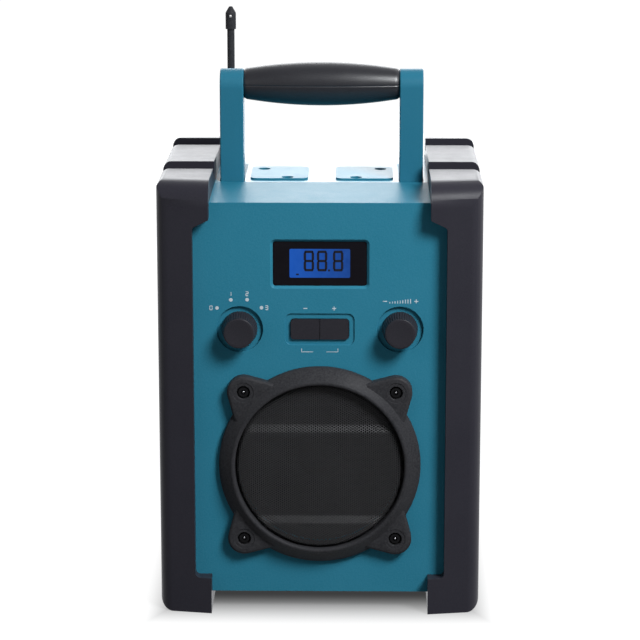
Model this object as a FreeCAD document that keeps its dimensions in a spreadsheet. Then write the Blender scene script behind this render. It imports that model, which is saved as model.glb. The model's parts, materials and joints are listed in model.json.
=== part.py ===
import FreeCAD, Part
import math
import os
import Sketcher

# Jobsite radio. X to the right, Y to the back, Z up, millimetres.
# The origin lies on the floor below the middle of the radio.

Vector = FreeCAD.Vector
Rotation = FreeCAD.Rotation

os.makedirs("parts", exist_ok=True)
doc = FreeCAD.newDocument("jobsite_radio")
sheet = doc.addObject("Spreadsheet::Sheet", "Sizes")

SIZES = {
    # Rubber guards
    "guard_half_width": 97.5,
    "guard_height": 267,
    "guard_front": 93,
    "guard_back": 95,
    "guard_side": 8.3,
    "guard_fit": 0.2,
    "guard_frame": 21.6,
    "guard_lap": 31.5,
    "guard_flare": 5.5,
    "guard_top_drop": 22,
    "guard_top_slope": 5,
    "guard_bottom_rise": 22.5,
    "guard_front_round": 9,
    "guard_top_round": 5,
    "guard_brow_round": 15,
    "guard_foot_round": 8,
    "guard_inner_round": 3,
    "groove_width": 12,
    "groove_depth": 6,
    "groove_first": 59,
    "groove_second": 148,
    # Casing
    "panel_setback": 10,
    "split_depth": 69,
    "housing_setback": 8,
    "case_foot_gap": 11.3,
    "case_top_gap": 13,
    "case_corner": 8,
    "wall": 3,
    "seal_width": 1,
    "seal_depth": 1.6,
    "close_fit": 0.2,
    "screw_fit": 0.05,
    # Handle
    "handle_guard_gap": 3.2,
    "handle_thick": 14.6,
    "handle_deep": 22,
    "handle_top": 322.8,
    "handle_gap": 2.5,
    "handle_clear": 0.5,
    "pivot_drop": 4,
    "fold_angle": 73,
    "pin_radius": 2.5,
    "pin_fit": 0.05,
    "channel_wall": 3,
    "bar_size": 10,
    "grip_middle": 313.5,
    "grip_radius": 13.4,
    "grip_end_radius": 9.4,
    # Pads and strap on the rear top
    "pad_inner": 8.6,
    "pad_gap": 3.7,
    "pad_start": 8,
    "pad_length": 43,
    "pad_height": 1,
    "pad_round": 5,
    "well_radius": 3.75,
    "well_depth": 6,
    "well_inner": 21.4,
    "well_inset": 7.8,
    "well_front": 12,
    "well_back": 42,
    "well_boss": 6,
    "strap_thick": 2,
    "top_screw_head": 3.3,
    "top_screw_length": 7,
    # Antenna
    "antenna_side": 29,
    "antenna_inset": 7,
    "antenna_top": 352,
    "antenna_base": 5.5,
    "antenna_base_height": 4,
    "antenna_pivot": 8,
    "antenna_eye": 3.6,
    "antenna_tongue": 3.6,
    "antenna_cheek": 2.4,
    "antenna_pin": 1,
    "antenna_collar": 3.2,
    "antenna_collar_start": 5.5,
    "antenna_collar_end": 12,
    "whip_radius": 2.4,
    "tip_radius": 3.4,
    "tip_length": 14.5,
    "tip_point": 4,
    "tip_hole": 0.8,
    # Speaker
    "speaker_height": 92.8,
    "ring_radius": 61.2,
    "ring_edge": 3,
    "ring_proud": 10,
    "ring_shoulder": 53.6,
    "ring_opening": 51.25,
    "ear_place": 65,
    "ear_radius": 10.5,
    "ear_proud": 6.5,
    "ear_root": 17,
    "ear_screw_depth": 4.5,
    "ring_screw_head": 3,
    "ring_screw_head_height": 3,
    "ring_screw_radius": 1.5,
    "ring_screw_length": 12,
    "grille_flange": 53,
    "grille_thick": 1,
    "grille_pan": 50.8,
    "grille_rise": 2.6,
    "grille_step": 2,
    "grille_band": 29,
    "grille_band_width": 6,
    "speaker_hole": 49,
    "gasket_thick": 1.5,
    "basket_radius": 57,
    "basket_flange": 1.5,
    "basket_sheet": 1.2,
    "basket_mouth": 51,
    "basket_floor": 30,
    "basket_depth": 31,
    "surround_outer": 49.6,
    "cone_radius": 43,
    "cone_throat": 14,
    "cone_depth": 18,
    "cone_sheet": 0.8,
    "surround_roll": 3,
    "dust_cap_rise": 5,
    "magnet_radius": 36,
    "magnet_length": 18,
    "speaker_screw_place": 54,
    "speaker_screw_radius": 1.5,
    "speaker_screw_head": 2.6,
    # Display
    "window_rise": 40,
    "window_half_width": 28,
    "window_half_height": 13.35,
    "window_thick": 1.5,
    "window_chamfer": 1.5,
    "window_round": 1.5,
    "panel_boss": 3.5,
    "glass_half_width": 20,
    "glass_half_height": 10.5,
    "module_half_width": 25,
    "module_half_height": 14,
    # Controls
    "control_rise": 83.9,
    "knob_place": 48.2,
    "knob_well": 14,
    "knob_well_depth": 2,
    "knob_radius": 11,
    "knob_front_radius": 9.2,
    "knob_proud": 12,
    "knob_clear": 0.4,
    "knob_edge": 1.2,
    "knob_flutes": 24,
    "flute_radius": 1,
    "knob_cavity": 8.6,
    "knob_skin": 2,
    "knob_hub": 5,
    "shaft_radius": 3,
    "shaft_grip": 8,
    "shaft_hole": 3.6,
    "switch_half_width": 7,
    "switch_length": 6.5,
    "button_width": 17.3,
    "button_half_height": 6.15,
    "button_gap": 0.3,
    "button_travel": 1.2,
    "button_proud": 1.5,
    "button_round": 2,
    "button_lip": 1,
    "button_well_half_width": 20.9,
    "button_well_half_height": 9.7,
    "button_well_depth": 1,
    "button_well_round": 4,
    "button_boss": 1,
    "plunger_radius": 2,
    "tact_half_width": 3,
    "tact_length": 3.5,
    "board_thick": 1.6,
    "board_setback": 14,
    "board_half_width": 62,
    "board_drop": 16.7,
    "board_height": 80,
    "post_radius": 3.5,
    "post_side": 6,
    "post_end": 5,
    "board_screw_radius": 1.2,
    "board_screw_head": 2.3,
    "board_screw_length": 6,
    # Case screws
    "case_screw_inset": 7.5,
    "case_screw_low": 26,
    "case_screw_high": 225,
    "case_screw_radius": 2,
    "case_screw_head": 3.6,
    "case_screw_bore": 4,
    "case_post": 6,
    "case_screw_seat": 10,
    "case_screw_length": 32,
    # Guard screws
    "guard_screw_inset": 13.5,
    "guard_screw_low": 60,
    "guard_screw_high": 205,
    "guard_screw_radius": 2,
    "guard_screw_head": 4,
    "guard_screw_sink": 4,
    "guard_screw_length": 8,
    # Battery bay
    "cell_radius": 17,
    "cell_length": 61.5,
    "cell_gap": 0.3,
    "cell_columns": 3,
    "cell_rows": 2,
    "contact_room": 3.5,
    "contact_thick": 0.5,
    "tray_low": 33,
    "tray_wall": 2,
    "tray_lip": 6,
    "tray_lip_thick": 2.4,
    "door_lap": 2.5,
    "door_thick": 2.8,
    "door_fit": 0.4,
    "door_round": 4,
    "door_pin": 0.8,
    "door_pin_length": 3,
    "door_tab_half_width": 10,
    "door_tab_depth": 1,
    "door_seal_width": 1.5,
    "door_seal_gap": 0.1,
    # Sockets and their cover
    "socket_height": 196,
    "aux_x": 26,
    "dc_x": 45,
    "aux_bore": 1.8,
    "dc_bore": 2.75,
    "dc_pin": 1.05,
    "socket_barrel": 4,
    "socket_half_width": 5,
    "socket_floor": 5.5,
    "flap_half_width": 19,
    "flap_half_height": 9,
    "flap_thick": 2.5,
    "flap_fit": 0.3,
    "flap_round": 4,
    "main_board_setback": 22,
    "main_board_half_width": 62,
    "main_board_low": 174,
    "main_board_height": 56,
}

for row, (alias, number) in enumerate(SIZES.items(), 1):
    sheet.set("A%d" % row, alias)
    sheet.set("B%d" % row, str(number))
    sheet.setAlias("B%d" % row, alias)
doc.recompute()


class Size:
    """A number together with the sheet expression that keeps it up to date."""

    def __init__(self, value, text):
        self.value = value
        self.text = text

    def __add__(self, other):
        other = size(other)
        return Size(self.value + other.value, "(%s + %s)" % (self.text, other.text))

    def __sub__(self, other):
        other = size(other)
        return Size(self.value - other.value, "(%s - %s)" % (self.text, other.text))

    def __mul__(self, other):
        other = size(other)
        return Size(self.value * other.value, "(%s * %s)" % (self.text, other.text))

    def __truediv__(self, other):
        other = size(other)
        return Size(self.value / other.value, "(%s / %s)" % (self.text, other.text))

    def __radd__(self, other):
        return size(other) + self

    def __rsub__(self, other):
        return size(other) - self

    def __rmul__(self, other):
        return size(other) * self

    def __rtruediv__(self, other):
        return size(other) / self

    def __neg__(self):
        return Size(-self.value, "(0 - %s)" % self.text)


def size(item):
    """A Size from an alias of the sheet, a plain number or another Size."""
    if isinstance(item, Size):
        return item
    if isinstance(item, str):
        return Size(float(sheet.get(item)), "Sizes." + item)
    return Size(float(item), repr(float(item)))


def tangent(angle):
    """The tangent of an angle given in degrees."""
    angle = size(angle)
    return Size(math.tan(math.radians(angle.value)), "tan(%s * 1deg)" % angle.text)


def cosine(angle):
    """The cosine of an angle given in degrees."""
    angle = size(angle)
    return Size(math.cos(math.radians(angle.value)), "cos(%s * 1deg)" % angle.text)


def arc_tangent(ratio):
    """The angle in degrees whose tangent is given."""
    ratio = size(ratio)
    return Size(math.degrees(math.atan(ratio.value)), "atan(%s)" % ratio.text)


def bind(thing, path, item):
    """Tie one property of an object to the sheet."""
    thing.setExpression(path, size(item).text)


# Sketched features

DIAGONAL = math.sqrt(0.5)
SKETCH_ORIGIN = -1
START = 1
END = 2
CENTRE = 3
HALVES = (-1, 1)
ZERO = (0, 0, 0)


def add_circle(drawing, middle, radius):
    """A circle whose middle and radius follow the sheet."""
    across, up, radius = size(middle[0]), size(middle[1]), size(radius)
    spot = Vector(across.value, up.value, 0)
    index = drawing.addGeometry(Part.Circle(spot, Vector(0, 0, 1), radius.value))
    rules = [
        Sketcher.Constraint("DistanceX", SKETCH_ORIGIN, START, index, CENTRE, across.value),
        Sketcher.Constraint("DistanceY", SKETCH_ORIGIN, START, index, CENTRE, up.value),
        Sketcher.Constraint("Radius", index, radius.value),
    ]
    numbers = drawing.addConstraint(rules)
    for number, item in zip(numbers, (across, up, radius)):
        bind(drawing, "Constraints[%d]" % number, item)


def add_outline(drawing, corners):
    """A closed outline of lines, with an arc at each corner that gives a radius."""
    spots = [Vector(size(corner[0]).value, size(corner[1]).value, 0) for corner in corners]
    count = len(corners)
    arrive = list(spots)
    leave = list(spots)
    arcs = {}
    for number, corner in enumerate(corners):
        if len(corner) < 3:
            continue
        spot = spots[number]
        before = (spots[number - 1] - spot).normalize()
        after = (spots[(number + 1) % count] - spot).normalize()
        radius = size(corner[2]).value
        half = before.getAngle(after) / 2
        arrive[number] = spot + before * (radius / math.tan(half))
        leave[number] = spot + after * (radius / math.tan(half))
        middle = spot + (before + after).normalize() * (radius / math.sin(half))
        left_turn = before.cross(after).z < 0
        ends = (arrive[number], leave[number]) if left_turn else (leave[number], arrive[number])
        angles = [math.atan2(end.y - middle.y, end.x - middle.x) for end in ends]
        if angles[1] < angles[0]:
            angles[1] += 2 * math.pi
        circle = Part.Circle(middle, Vector(0, 0, 1), radius)
        arcs[number] = (Part.ArcOfCircle(circle, angles[0], angles[1]), left_turn)
    lines = []
    for number in range(count):
        line = Part.LineSegment(leave[number], arrive[(number + 1) % count])
        lines.append(drawing.addGeometry(line))
    for number, corner in enumerate(corners):
        line_in = lines[number - 1]
        line_out = lines[number]
        if number in arcs:
            curve, left_turn = arcs[number]
            arc = drawing.addGeometry(curve)
            mark = drawing.addGeometry(Part.Point(spots[number]), True)
            first, last = (START, END) if left_turn else (END, START)
            drawing.addConstraint([
                Sketcher.Constraint("Tangent", line_in, END, arc, first),
                Sketcher.Constraint("Tangent", arc, last, line_out, START),
                Sketcher.Constraint("PointOnObject", mark, START, line_in),
                Sketcher.Constraint("PointOnObject", mark, START, line_out),
            ])
            radius = size(corner[2])
            rule = drawing.addConstraint(Sketcher.Constraint("Radius", arc, radius.value))
            bind(drawing, "Constraints[%d]" % rule, radius)
        else:
            mark = line_out
            drawing.addConstraint(Sketcher.Constraint("Coincident", line_in, END, line_out, START))
        for kind, item in (("DistanceX", size(corner[0])), ("DistanceY", size(corner[1]))):
            link = Sketcher.Constraint(kind, SKETCH_ORIGIN, START, mark, START, item.value)
            rule = drawing.addConstraint(link)
            bind(drawing, "Constraints[%d]" % rule, item)


def sketch(body, name, plane, loops, at=ZERO):
    """A sketch on one of the body's own planes. A loop is a circle or a list of corners."""
    drawing = body.newObject("Sketcher::SketchObject", name)
    base = next(item for item in body.Origin.OriginFeatures if item.Role == plane)
    drawing.AttachmentSupport = (base, [""])
    drawing.MapMode = "FlatFace"
    for axis, offset in zip("xyz", at):
        if size(offset).text != "0.0":
            bind(drawing, ".AttachmentOffset.Base." + axis, offset)
    for loop in loops:
        if loop[0] == "circle":
            add_circle(drawing, loop[1], loop[2])
        else:
            add_outline(drawing, loop)
    return drawing


def extrude(body, name, plane, loops, low, high, cutting, taper=None):
    """Pad or pocket of an outline between two places along the normal of its plane."""
    low, high = size(low), size(high)
    if plane == "XZ_Plane":
        offset = -low if cutting else -high
    else:
        offset = high if cutting else low
    drawing = sketch(body, name + "_sketch", plane, loops, (0, 0, offset))
    kind = "PartDesign::Pocket" if cutting else "PartDesign::Pad"
    feature = body.newObject(kind, name)
    feature.Profile = (drawing, [""])
    bind(feature, "Length", high - low)
    if taper is not None:
        feature.TaperAngle = taper
    return feature


def pad(body, name, plane, loops, low, high):
    """Material between two places along the normal of the plane."""
    return extrude(body, name, plane, loops, low, high, False)


def pocket(body, name, plane, loops, low, high, taper=None):
    """A cut between two places along the normal of the plane."""
    return extrude(body, name, plane, loops, low, high, True, taper)


def turn(body, name, plane, loops, axis, at=ZERO, cutting=False):
    """A profile turned all the way round one axis of its sketch."""
    drawing = sketch(body, name + "_sketch", plane, loops, at)
    kind = "PartDesign::Groove" if cutting else "PartDesign::Revolution"
    feature = body.newObject(kind, name)
    feature.Profile = (drawing, [""])
    feature.ReferenceAxis = (drawing, [axis])
    feature.Angle = 360
    return feature


def polar(body, name, features, role, copies):
    """Copies of features evenly round one of the body's own axes."""
    pattern = body.newObject("PartDesign::PolarPattern", name)
    pattern.Originals = features
    axis = next(item for item in body.Origin.OriginFeatures if item.Role == role)
    pattern.Axis = (axis, [""])
    pattern.Angle = 360
    bind(pattern, "Occurrences", copies)
    body.Tip = pattern
    return pattern


def new_body(label, at=ZERO):
    """A body for one piece, placed in the radio's frame."""
    body = doc.addObject("PartDesign::Body", label)
    body.Label = label
    place(body, at)
    return body


def place(thing, at):
    """Bind the position of a body or a primitive."""
    for axis, offset in zip("xyz", at):
        if size(offset).text != "0.0":
            bind(thing, ".Placement.Base." + axis, offset)


def rectangle(left, right, low, high, radius=None):
    """Four corners, rounded where a radius is given."""
    corners = [(left, low), (right, low), (right, high), (left, high)]
    if radius is None:
        return corners
    return [corner + (radius,) for corner in corners]


def square_foot(corners):
    """A rounded rectangle with its two lower corners left square."""
    return [corner[:2] for corner in corners[:2]] + corners[2:]


def circle(across, up, radius):
    """A circle as a loop for a sketch."""
    return ("circle", (across, up), radius)


# Primitives for the plain pieces inside

AXES = {
    "x": (Rotation(Vector(0, 1, 0), 90), (1, 0, 0)),
    "y": (Rotation(Vector(1, 0, 0), -90), (0, 1, 0)),
    "z": (Rotation(), (0, 0, 1)),
    "-y": (Rotation(Vector(1, 0, 0), 90), (0, -1, 0)),
    "-z": (Rotation(Vector(1, 0, 0), 180), (0, 0, -1)),
}


def block(name, left, right, front, back, low, high):
    """A plain box between six places."""
    item = doc.addObject("Part::Box", name)
    bind(item, "Length", size(right) - left)
    bind(item, "Width", size(back) - front)
    bind(item, "Height", size(high) - low)
    place(item, (left, front, low))
    return item


def rod(name, axis, at, radius, length):
    """A cylinder from a point along an axis."""
    item = doc.addObject("Part::Cylinder", name)
    item.Placement = FreeCAD.Placement(Vector(), AXES[axis][0])
    bind(item, "Radius", radius)
    bind(item, "Height", length)
    place(item, at)
    return item


def cut(name, base, *tools):
    """One shape less the others."""
    item = doc.addObject("Part::Cut", name)
    item.Base = base
    item.Tool = tools[0] if len(tools) == 1 else fuse(name + "_tools", *tools)
    return item


def fuse(name, *items):
    """Several shapes as one solid."""
    item = doc.addObject("Part::MultiFuse", name)
    item.Shapes = list(items)
    return item


def common(name, *items):
    """What several shapes share."""
    item = doc.addObject("Part::MultiCommon", name)
    item.Shapes = list(items)
    return item


def group(name, items):
    """Separate solids of one node."""
    item = doc.addObject("Part::Compound", name)
    item.Links = list(items)
    item.Label = name
    return item


def along(at, axis, distance):
    """A point moved along one of the named axes."""
    return tuple(size(item) + step * size(distance) for item, step in zip(at, AXES[axis][1]))


def screw(name, at, axis, head, head_height, radius, length):
    """A socket head screw with its seat at a point and its shank along an axis."""
    start = along(at, axis, -size(head_height))
    top = rod(name + "_head", axis, start, head, head_height)
    shank = rod(name + "_shank", axis, at, radius, length)
    socket = doc.addObject("Part::Prism", name + "_socket")
    socket.Polygon = 6
    socket.Placement = FreeCAD.Placement(Vector(), AXES[axis][0])
    bind(socket, "Circumradius", size(head) * SOCKET_SHARE)
    bind(socket, "Height", size(head_height) * SOCKET_SHARE)
    place(socket, start)
    return cut(name, fuse(name + "_body", top, shank), socket)


SOCKET_SHARE = 0.55


def four(first_x, second_x, low, high):
    """The four spots of a pattern that is the same left and right."""
    return [(sign * size(first_x), low) for sign in HALVES] + [
        (sign * size(second_x), high) for sign in HALVES]


# Places worked out from the driving sizes

side = size("guard_half_width")
case_half = side - "guard_side" - "guard_fit"
guard_rim = side - "guard_frame"
guard_corner = side - "guard_lap"
guard_screw_x = side - "guard_screw_inset"
case_screw_x = case_half - "case_screw_inset"
case_low = size("case_foot_gap")
case_high = size("guard_height") - "case_top_gap"
guard_y = -size("guard_front")
panel_y = guard_y + "panel_setback"
split_y = panel_y + "split_depth"
back_y = size("guard_back") - "housing_setback"
cover_inner = panel_y + "wall"
back_inner = back_y - "wall"
top_inner = case_high - "wall"
pivot_y = split_y + "handle_gap" + size("handle_deep") / 2
pivot_z = case_high - "pivot_drop"
handle_outer = guard_corner - "handle_guard_gap"
handle_inner = handle_outer - "handle_thick"
pad_outer = handle_inner - "pad_gap"
well_outer = pad_outer - "well_inset"
sweep = size("handle_deep") / 2 + "handle_clear"
channel_end = pivot_y + sweep / cosine("fold_angle") + size("pivot_drop") * tangent("fold_angle")
board_y = cover_inner + "board_setback"
knob_floor = panel_y + "knob_well_depth"
knob_face = panel_y - "knob_proud"
boss_back = cover_inner + "panel_boss"
window_y = panel_y + "window_chamfer"
window_back = window_y + "window_thick"
well_floor = panel_y + "button_well_depth"
button_back = cover_inner + "button_boss"
speaker_z = size("speaker_height")
control_z = speaker_z + "control_rise"
window_z = control_z + "window_rise"
board_low = control_z - "board_drop"
board_high = board_low + "board_height"
post_x = size("board_half_width") - "post_side"
post_low = board_low + "post_end"
post_high = board_high - "post_end"
gasket_back = cover_inner + "gasket_thick"
basket_back = gasket_back + "basket_flange"
seat_ring = size("ring_screw_head")

cell_pitch = size("cell_radius") * 2 + "cell_gap"
bay_half = cell_pitch * "cell_columns" / 2 + "cell_gap"
bay_low = size("tray_low")
bay_high = bay_low + size("cell_length") * "cell_rows" + size("contact_room") * 2
bay_front = back_inner - size("cell_radius") * 2 - size("cell_gap") * 2
door_half = bay_half + "door_lap"
door_low = bay_low - "door_lap"
door_high = bay_high + "door_lap"
door_front = back_y - "door_thick"
hinge_radius = size("door_thick") / 2
hinge_y = back_y - hinge_radius
hinge_z = door_low + hinge_radius
socket_z = size("socket_height")
socket_floor_y = back_y - "socket_floor"
flap_middle = (size("aux_x") + "dc_x") / 2
main_board_y = back_inner - "main_board_setback"
main_board_high = size("main_board_low") + "main_board_height"
main_post_x = size("main_board_half_width") - "post_side"
main_post_low = size("main_board_low") + "post_end"
main_post_high = main_board_high - "post_end"
antenna_x = case_half - "antenna_side"
antenna_y = back_y - "antenna_inset"
antenna_pivot_z = case_high + "antenna_pivot"


def guard(label, sign):
    """A rubber bumper round one side, with a window in its front and back flanges."""
    body = new_body(label)
    inner = guard_corner * sign
    outer = side * sign
    front = guard_y
    back = size("guard_back")
    flare = size("guard_flare")
    plan = [
        (inner, front),
        (outer, front + flare, "guard_front_round"),
        (outer, back - flare, "guard_front_round"),
        (inner, back),
    ]
    if sign < 0:
        plan.reverse()
    pad(body, label + "_block", "XY_Plane", [plan], 0, "guard_height")
    trim_corners(body, label, sign, "top", size("guard_height"), size("guard_top_round"), 1)
    trim_corners(body, label, sign, "foot", size(0), size("guard_foot_round"), -1)
    round_brow(body, label, sign, "front", front, flare)
    round_brow(body, label, sign, "back", back, -flare)
    hollow_x = (case_half + "guard_fit") * sign
    low = case_low - "guard_fit"
    high = case_high + "guard_fit"
    near = size(0)
    hollow = rectangle(near, hollow_x, low, high) if sign > 0 else rectangle(hollow_x, near, low, high)
    pocket(body, label + "_hollow", "XZ_Plane", [hollow], panel_y - "guard_fit", back_y + "guard_fit")
    rim = guard_rim * sign
    window_top = size("guard_height") - "guard_top_drop"
    window = [
        (near, "guard_bottom_rise"),
        (rim, "guard_bottom_rise", "guard_inner_round"),
        (rim, window_top - "guard_top_slope", "guard_inner_round"),
        (inner, window_top),
        (near, window_top),
    ]
    if sign < 0:
        window.reverse()
    pocket(body, label + "_window", "XZ_Plane", [window], front - MARGIN, back + MARGIN)
    groove_outline = groove_loop(sign)
    for name, start in (("first", "groove_first"), ("second", "groove_second")):
        groove_front = guard_y + start
        pocket(body, label + "_groove_" + name, "XZ_Plane", [groove_outline],
               groove_front, groove_front + "groove_width")
    screw_x = guard_screw_x * sign
    spots = [(screw_x, "guard_screw_low"), (screw_x, "guard_screw_high")]
    shanks = [circle(x, z, size("guard_screw_radius") + "screw_fit") for x, z in spots]
    heads = [circle(x, z, size("guard_screw_head") + "close_fit") for x, z in spots]
    pocket(body, label + "_screw_holes", "XZ_Plane", [*shanks], back_y, back + MARGIN)
    pocket(body, label + "_head_wells", "XZ_Plane", [*heads], back - "guard_screw_sink", back + MARGIN)
    return body


MARGIN = 5


def trim_corners(body, label, sign, name, level, radius, up):
    """Round the long outer edge of a guard at its top or foot."""
    outer = side * sign
    corner = [
        (outer - radius * sign, level + size(MARGIN * up)),
        (outer - radius * sign, level),
        (outer, level, radius * ROUND_SHARE),
        (outer, level - radius * up),
        (outer + size(MARGIN * sign), level - radius * up),
        (outer + size(MARGIN * sign), level + size(MARGIN * up)),
    ]
    if sign * up > 0:
        corner.reverse()
    pocket(body, label + "_" + name + "_round", "XZ_Plane", [corner],
           guard_y - MARGIN, size("guard_back") + MARGIN)


def round_brow(body, label, sign, name, face, flare):
    """Round the top edge of a guard's slanted front or back face."""
    inward = 1 if flare.value > 0 else -1
    radius = size("guard_brow_round")
    top = size("guard_height")
    corner = [
        (size(-MARGIN * inward), top + MARGIN),
        (size(-MARGIN * inward), top - radius),
        (0, top - radius),
        (0, top, radius * ROUND_SHARE),
        (radius * inward, top),
        (radius * inward, top + MARGIN),
    ]
    if inward < 0:
        corner.reverse()
    drawing = sketch(body, label + "_" + name + "_brow_sketch", "YZ_Plane", [corner],
                     (face, 0, guard_corner * sign))
    angle = arc_tangent(flare * sign / "guard_lap")
    drawing.AttachmentOffset = FreeCAD.Placement(drawing.AttachmentOffset.Base,
                                                 Rotation(Vector(0, 1, 0), angle.value))
    bind(drawing, ".AttachmentOffset.Rotation.Angle", angle)
    feature = body.newObject("PartDesign::Pocket", label + "_" + name + "_brow")
    feature.Profile = (drawing, [""])
    feature.Midplane = True
    bind(feature, "Length", size("guard_lap") * 3)


ROUND_SHARE = 0.98


def groove_loop(sign):
    """The C shaped outline that a transverse groove takes off a guard."""
    near = guard_corner * sign - size(MARGIN * sign)
    far = side * sign + size(MARGIN * sign)
    inner = side * sign - size("groove_depth") * sign
    low = size("groove_depth")
    high = size("guard_height") - "groove_depth"
    outline = [
        (near, high),
        (inner, high, "guard_inner_round"),
        (inner, low, "guard_inner_round"),
        (near, low),
        (near, size(-MARGIN)),
        (far, size(-MARGIN)),
        (far, size("guard_height") + MARGIN),
        (near, size("guard_height") + MARGIN),
    ]
    if sign > 0:
        return outline
    outline.reverse()
    return outline


def case_outline(inset):
    """The rounded front outline of the casing, drawn in by an inset."""
    radius = size("case_corner") - inset
    return rectangle(-case_half + inset, case_half - inset, case_low + inset, case_high - inset, radius)


def front_cover():
    """The front shell that carries the speaker, the display and the controls."""
    body = new_body("front_cover")
    pad(body, "cover_shell", "XZ_Plane", [case_outline(size(0))], panel_y, split_y)
    pocket(body, "cover_hollow", "XZ_Plane", [case_outline(size("wall"))], cover_inner, split_y)
    reach = cover_inner - size("wall") / 2
    window_boss = rectangle(-size("window_half_width") - "wall", size("window_half_width") + "wall",
                            window_z - "window_half_height" - "wall",
                            window_z + "window_half_height" + "wall", "wall")
    pad(body, "window_boss", "XZ_Plane", [window_boss], reach, boss_back)
    knob_bosses = [circle(sign * size("knob_place"), control_z, size("knob_well") + "wall")
                   for sign in HALVES]
    pad(body, "knob_bosses", "XZ_Plane", knob_bosses, reach, boss_back)
    button_boss = rectangle(-size("button_well_half_width"), size("button_well_half_width"),
                            control_z - "button_well_half_height",
                            control_z + "button_well_half_height", "button_well_round")
    pad(body, "button_boss", "XZ_Plane", [button_boss], reach, button_back)
    posts = [circle(x, z, "post_radius") for x, z in four(post_x, post_x, post_low, post_high)]
    pad(body, "board_posts", "XZ_Plane", posts, reach, board_y)
    case_posts = [circle(x, z, "case_post") for x, z in case_screw_spots()]
    pad(body, "case_posts", "XZ_Plane", case_posts, reach, split_y)
    ring_posts = [circle(x, z, "case_post") for x, z in ear_spots()]
    pad(body, "ring_posts", "XZ_Plane", ring_posts, reach, gasket_back + "case_post")
    window_seat(body)
    wells = [circle(sign * size("knob_place"), control_z, "knob_well") for sign in HALVES]
    pocket(body, "knob_wells", "XZ_Plane", wells, panel_y - 1, knob_floor)
    holes = [circle(sign * size("knob_place"), control_z, "shaft_hole") for sign in HALVES]
    pocket(body, "shaft_holes", "XZ_Plane", holes, panel_y, boss_back + 1)
    pocket(body, "button_well", "XZ_Plane", [button_boss], panel_y - 1, well_floor)
    opening_half = size("button_gap") * 1.5 + "button_width"
    opening_high = size("button_half_height") + "button_gap"
    button_hole = rectangle(-opening_half, opening_half, control_z - opening_high,
                            control_z + opening_high, size("button_round") + "button_gap")
    pocket(body, "button_opening", "XZ_Plane", [button_hole], panel_y, button_back + 1)
    pocket(body, "speaker_opening", "XZ_Plane", [circle(0, speaker_z, "speaker_hole")],
           panel_y - 1, cover_inner + 1)
    threads = [circle(x, z, size("ring_screw_radius") + "screw_fit") for x, z in ear_spots()]
    pocket(body, "ring_threads", "XZ_Plane", threads, panel_y - 1, gasket_back + "case_post" + 1)
    threads = [circle(x, z, size("case_screw_radius") + "screw_fit") for x, z in case_screw_spots()]
    pocket(body, "case_threads", "XZ_Plane", threads, cover_inner + 1, split_y + 1)
    threads = [circle(x, z + speaker_z, size("speaker_screw_radius") + "screw_fit")
               for x, z in driver_spots()]
    pocket(body, "speaker_threads", "XZ_Plane", threads, panel_y + 1, cover_inner + 1)
    threads = [circle(x, z, size("board_screw_radius") + "screw_fit")
               for x, z in four(post_x, post_x, post_low, post_high)]
    pocket(body, "board_threads", "XZ_Plane", threads, cover_inner + 1, board_y + 1)
    return body


def window_seat(body):
    """The chamfered frame, the seat and the opening of the display window."""
    half_width = size("window_half_width") + "close_fit"
    half_height = size("window_half_height") + "close_fit"
    level = window_z
    chamfer = size("window_chamfer")
    mouth = rectangle(-half_width - chamfer, half_width + chamfer,
                      level - half_height - chamfer, level + half_height + chamfer,
                      size("window_round") + chamfer)
    pocket(body, "window_chamfer", "XZ_Plane", [mouth], panel_y, window_y, -45)
    seat = rectangle(-half_width, half_width, level - half_height, level + half_height, "window_round")
    pocket(body, "window_seat", "XZ_Plane", [seat], panel_y, window_back)
    hole = rectangle(-size("glass_half_width"), "glass_half_width",
                     level - "glass_half_height", level + "glass_half_height")
    pocket(body, "window_hole", "XZ_Plane", [hole], panel_y, boss_back + 1)


def case_screw_spots():
    """Where the screws that close the casing stand."""
    return four(case_screw_x, case_screw_x, "case_screw_low", "case_screw_high")


def ear_spots():
    """Where the four screws of the speaker ring stand."""
    reach = size("ear_place") * DIAGONAL
    return [(across * reach, speaker_z + up * reach) for across in HALVES for up in HALVES]


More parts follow.
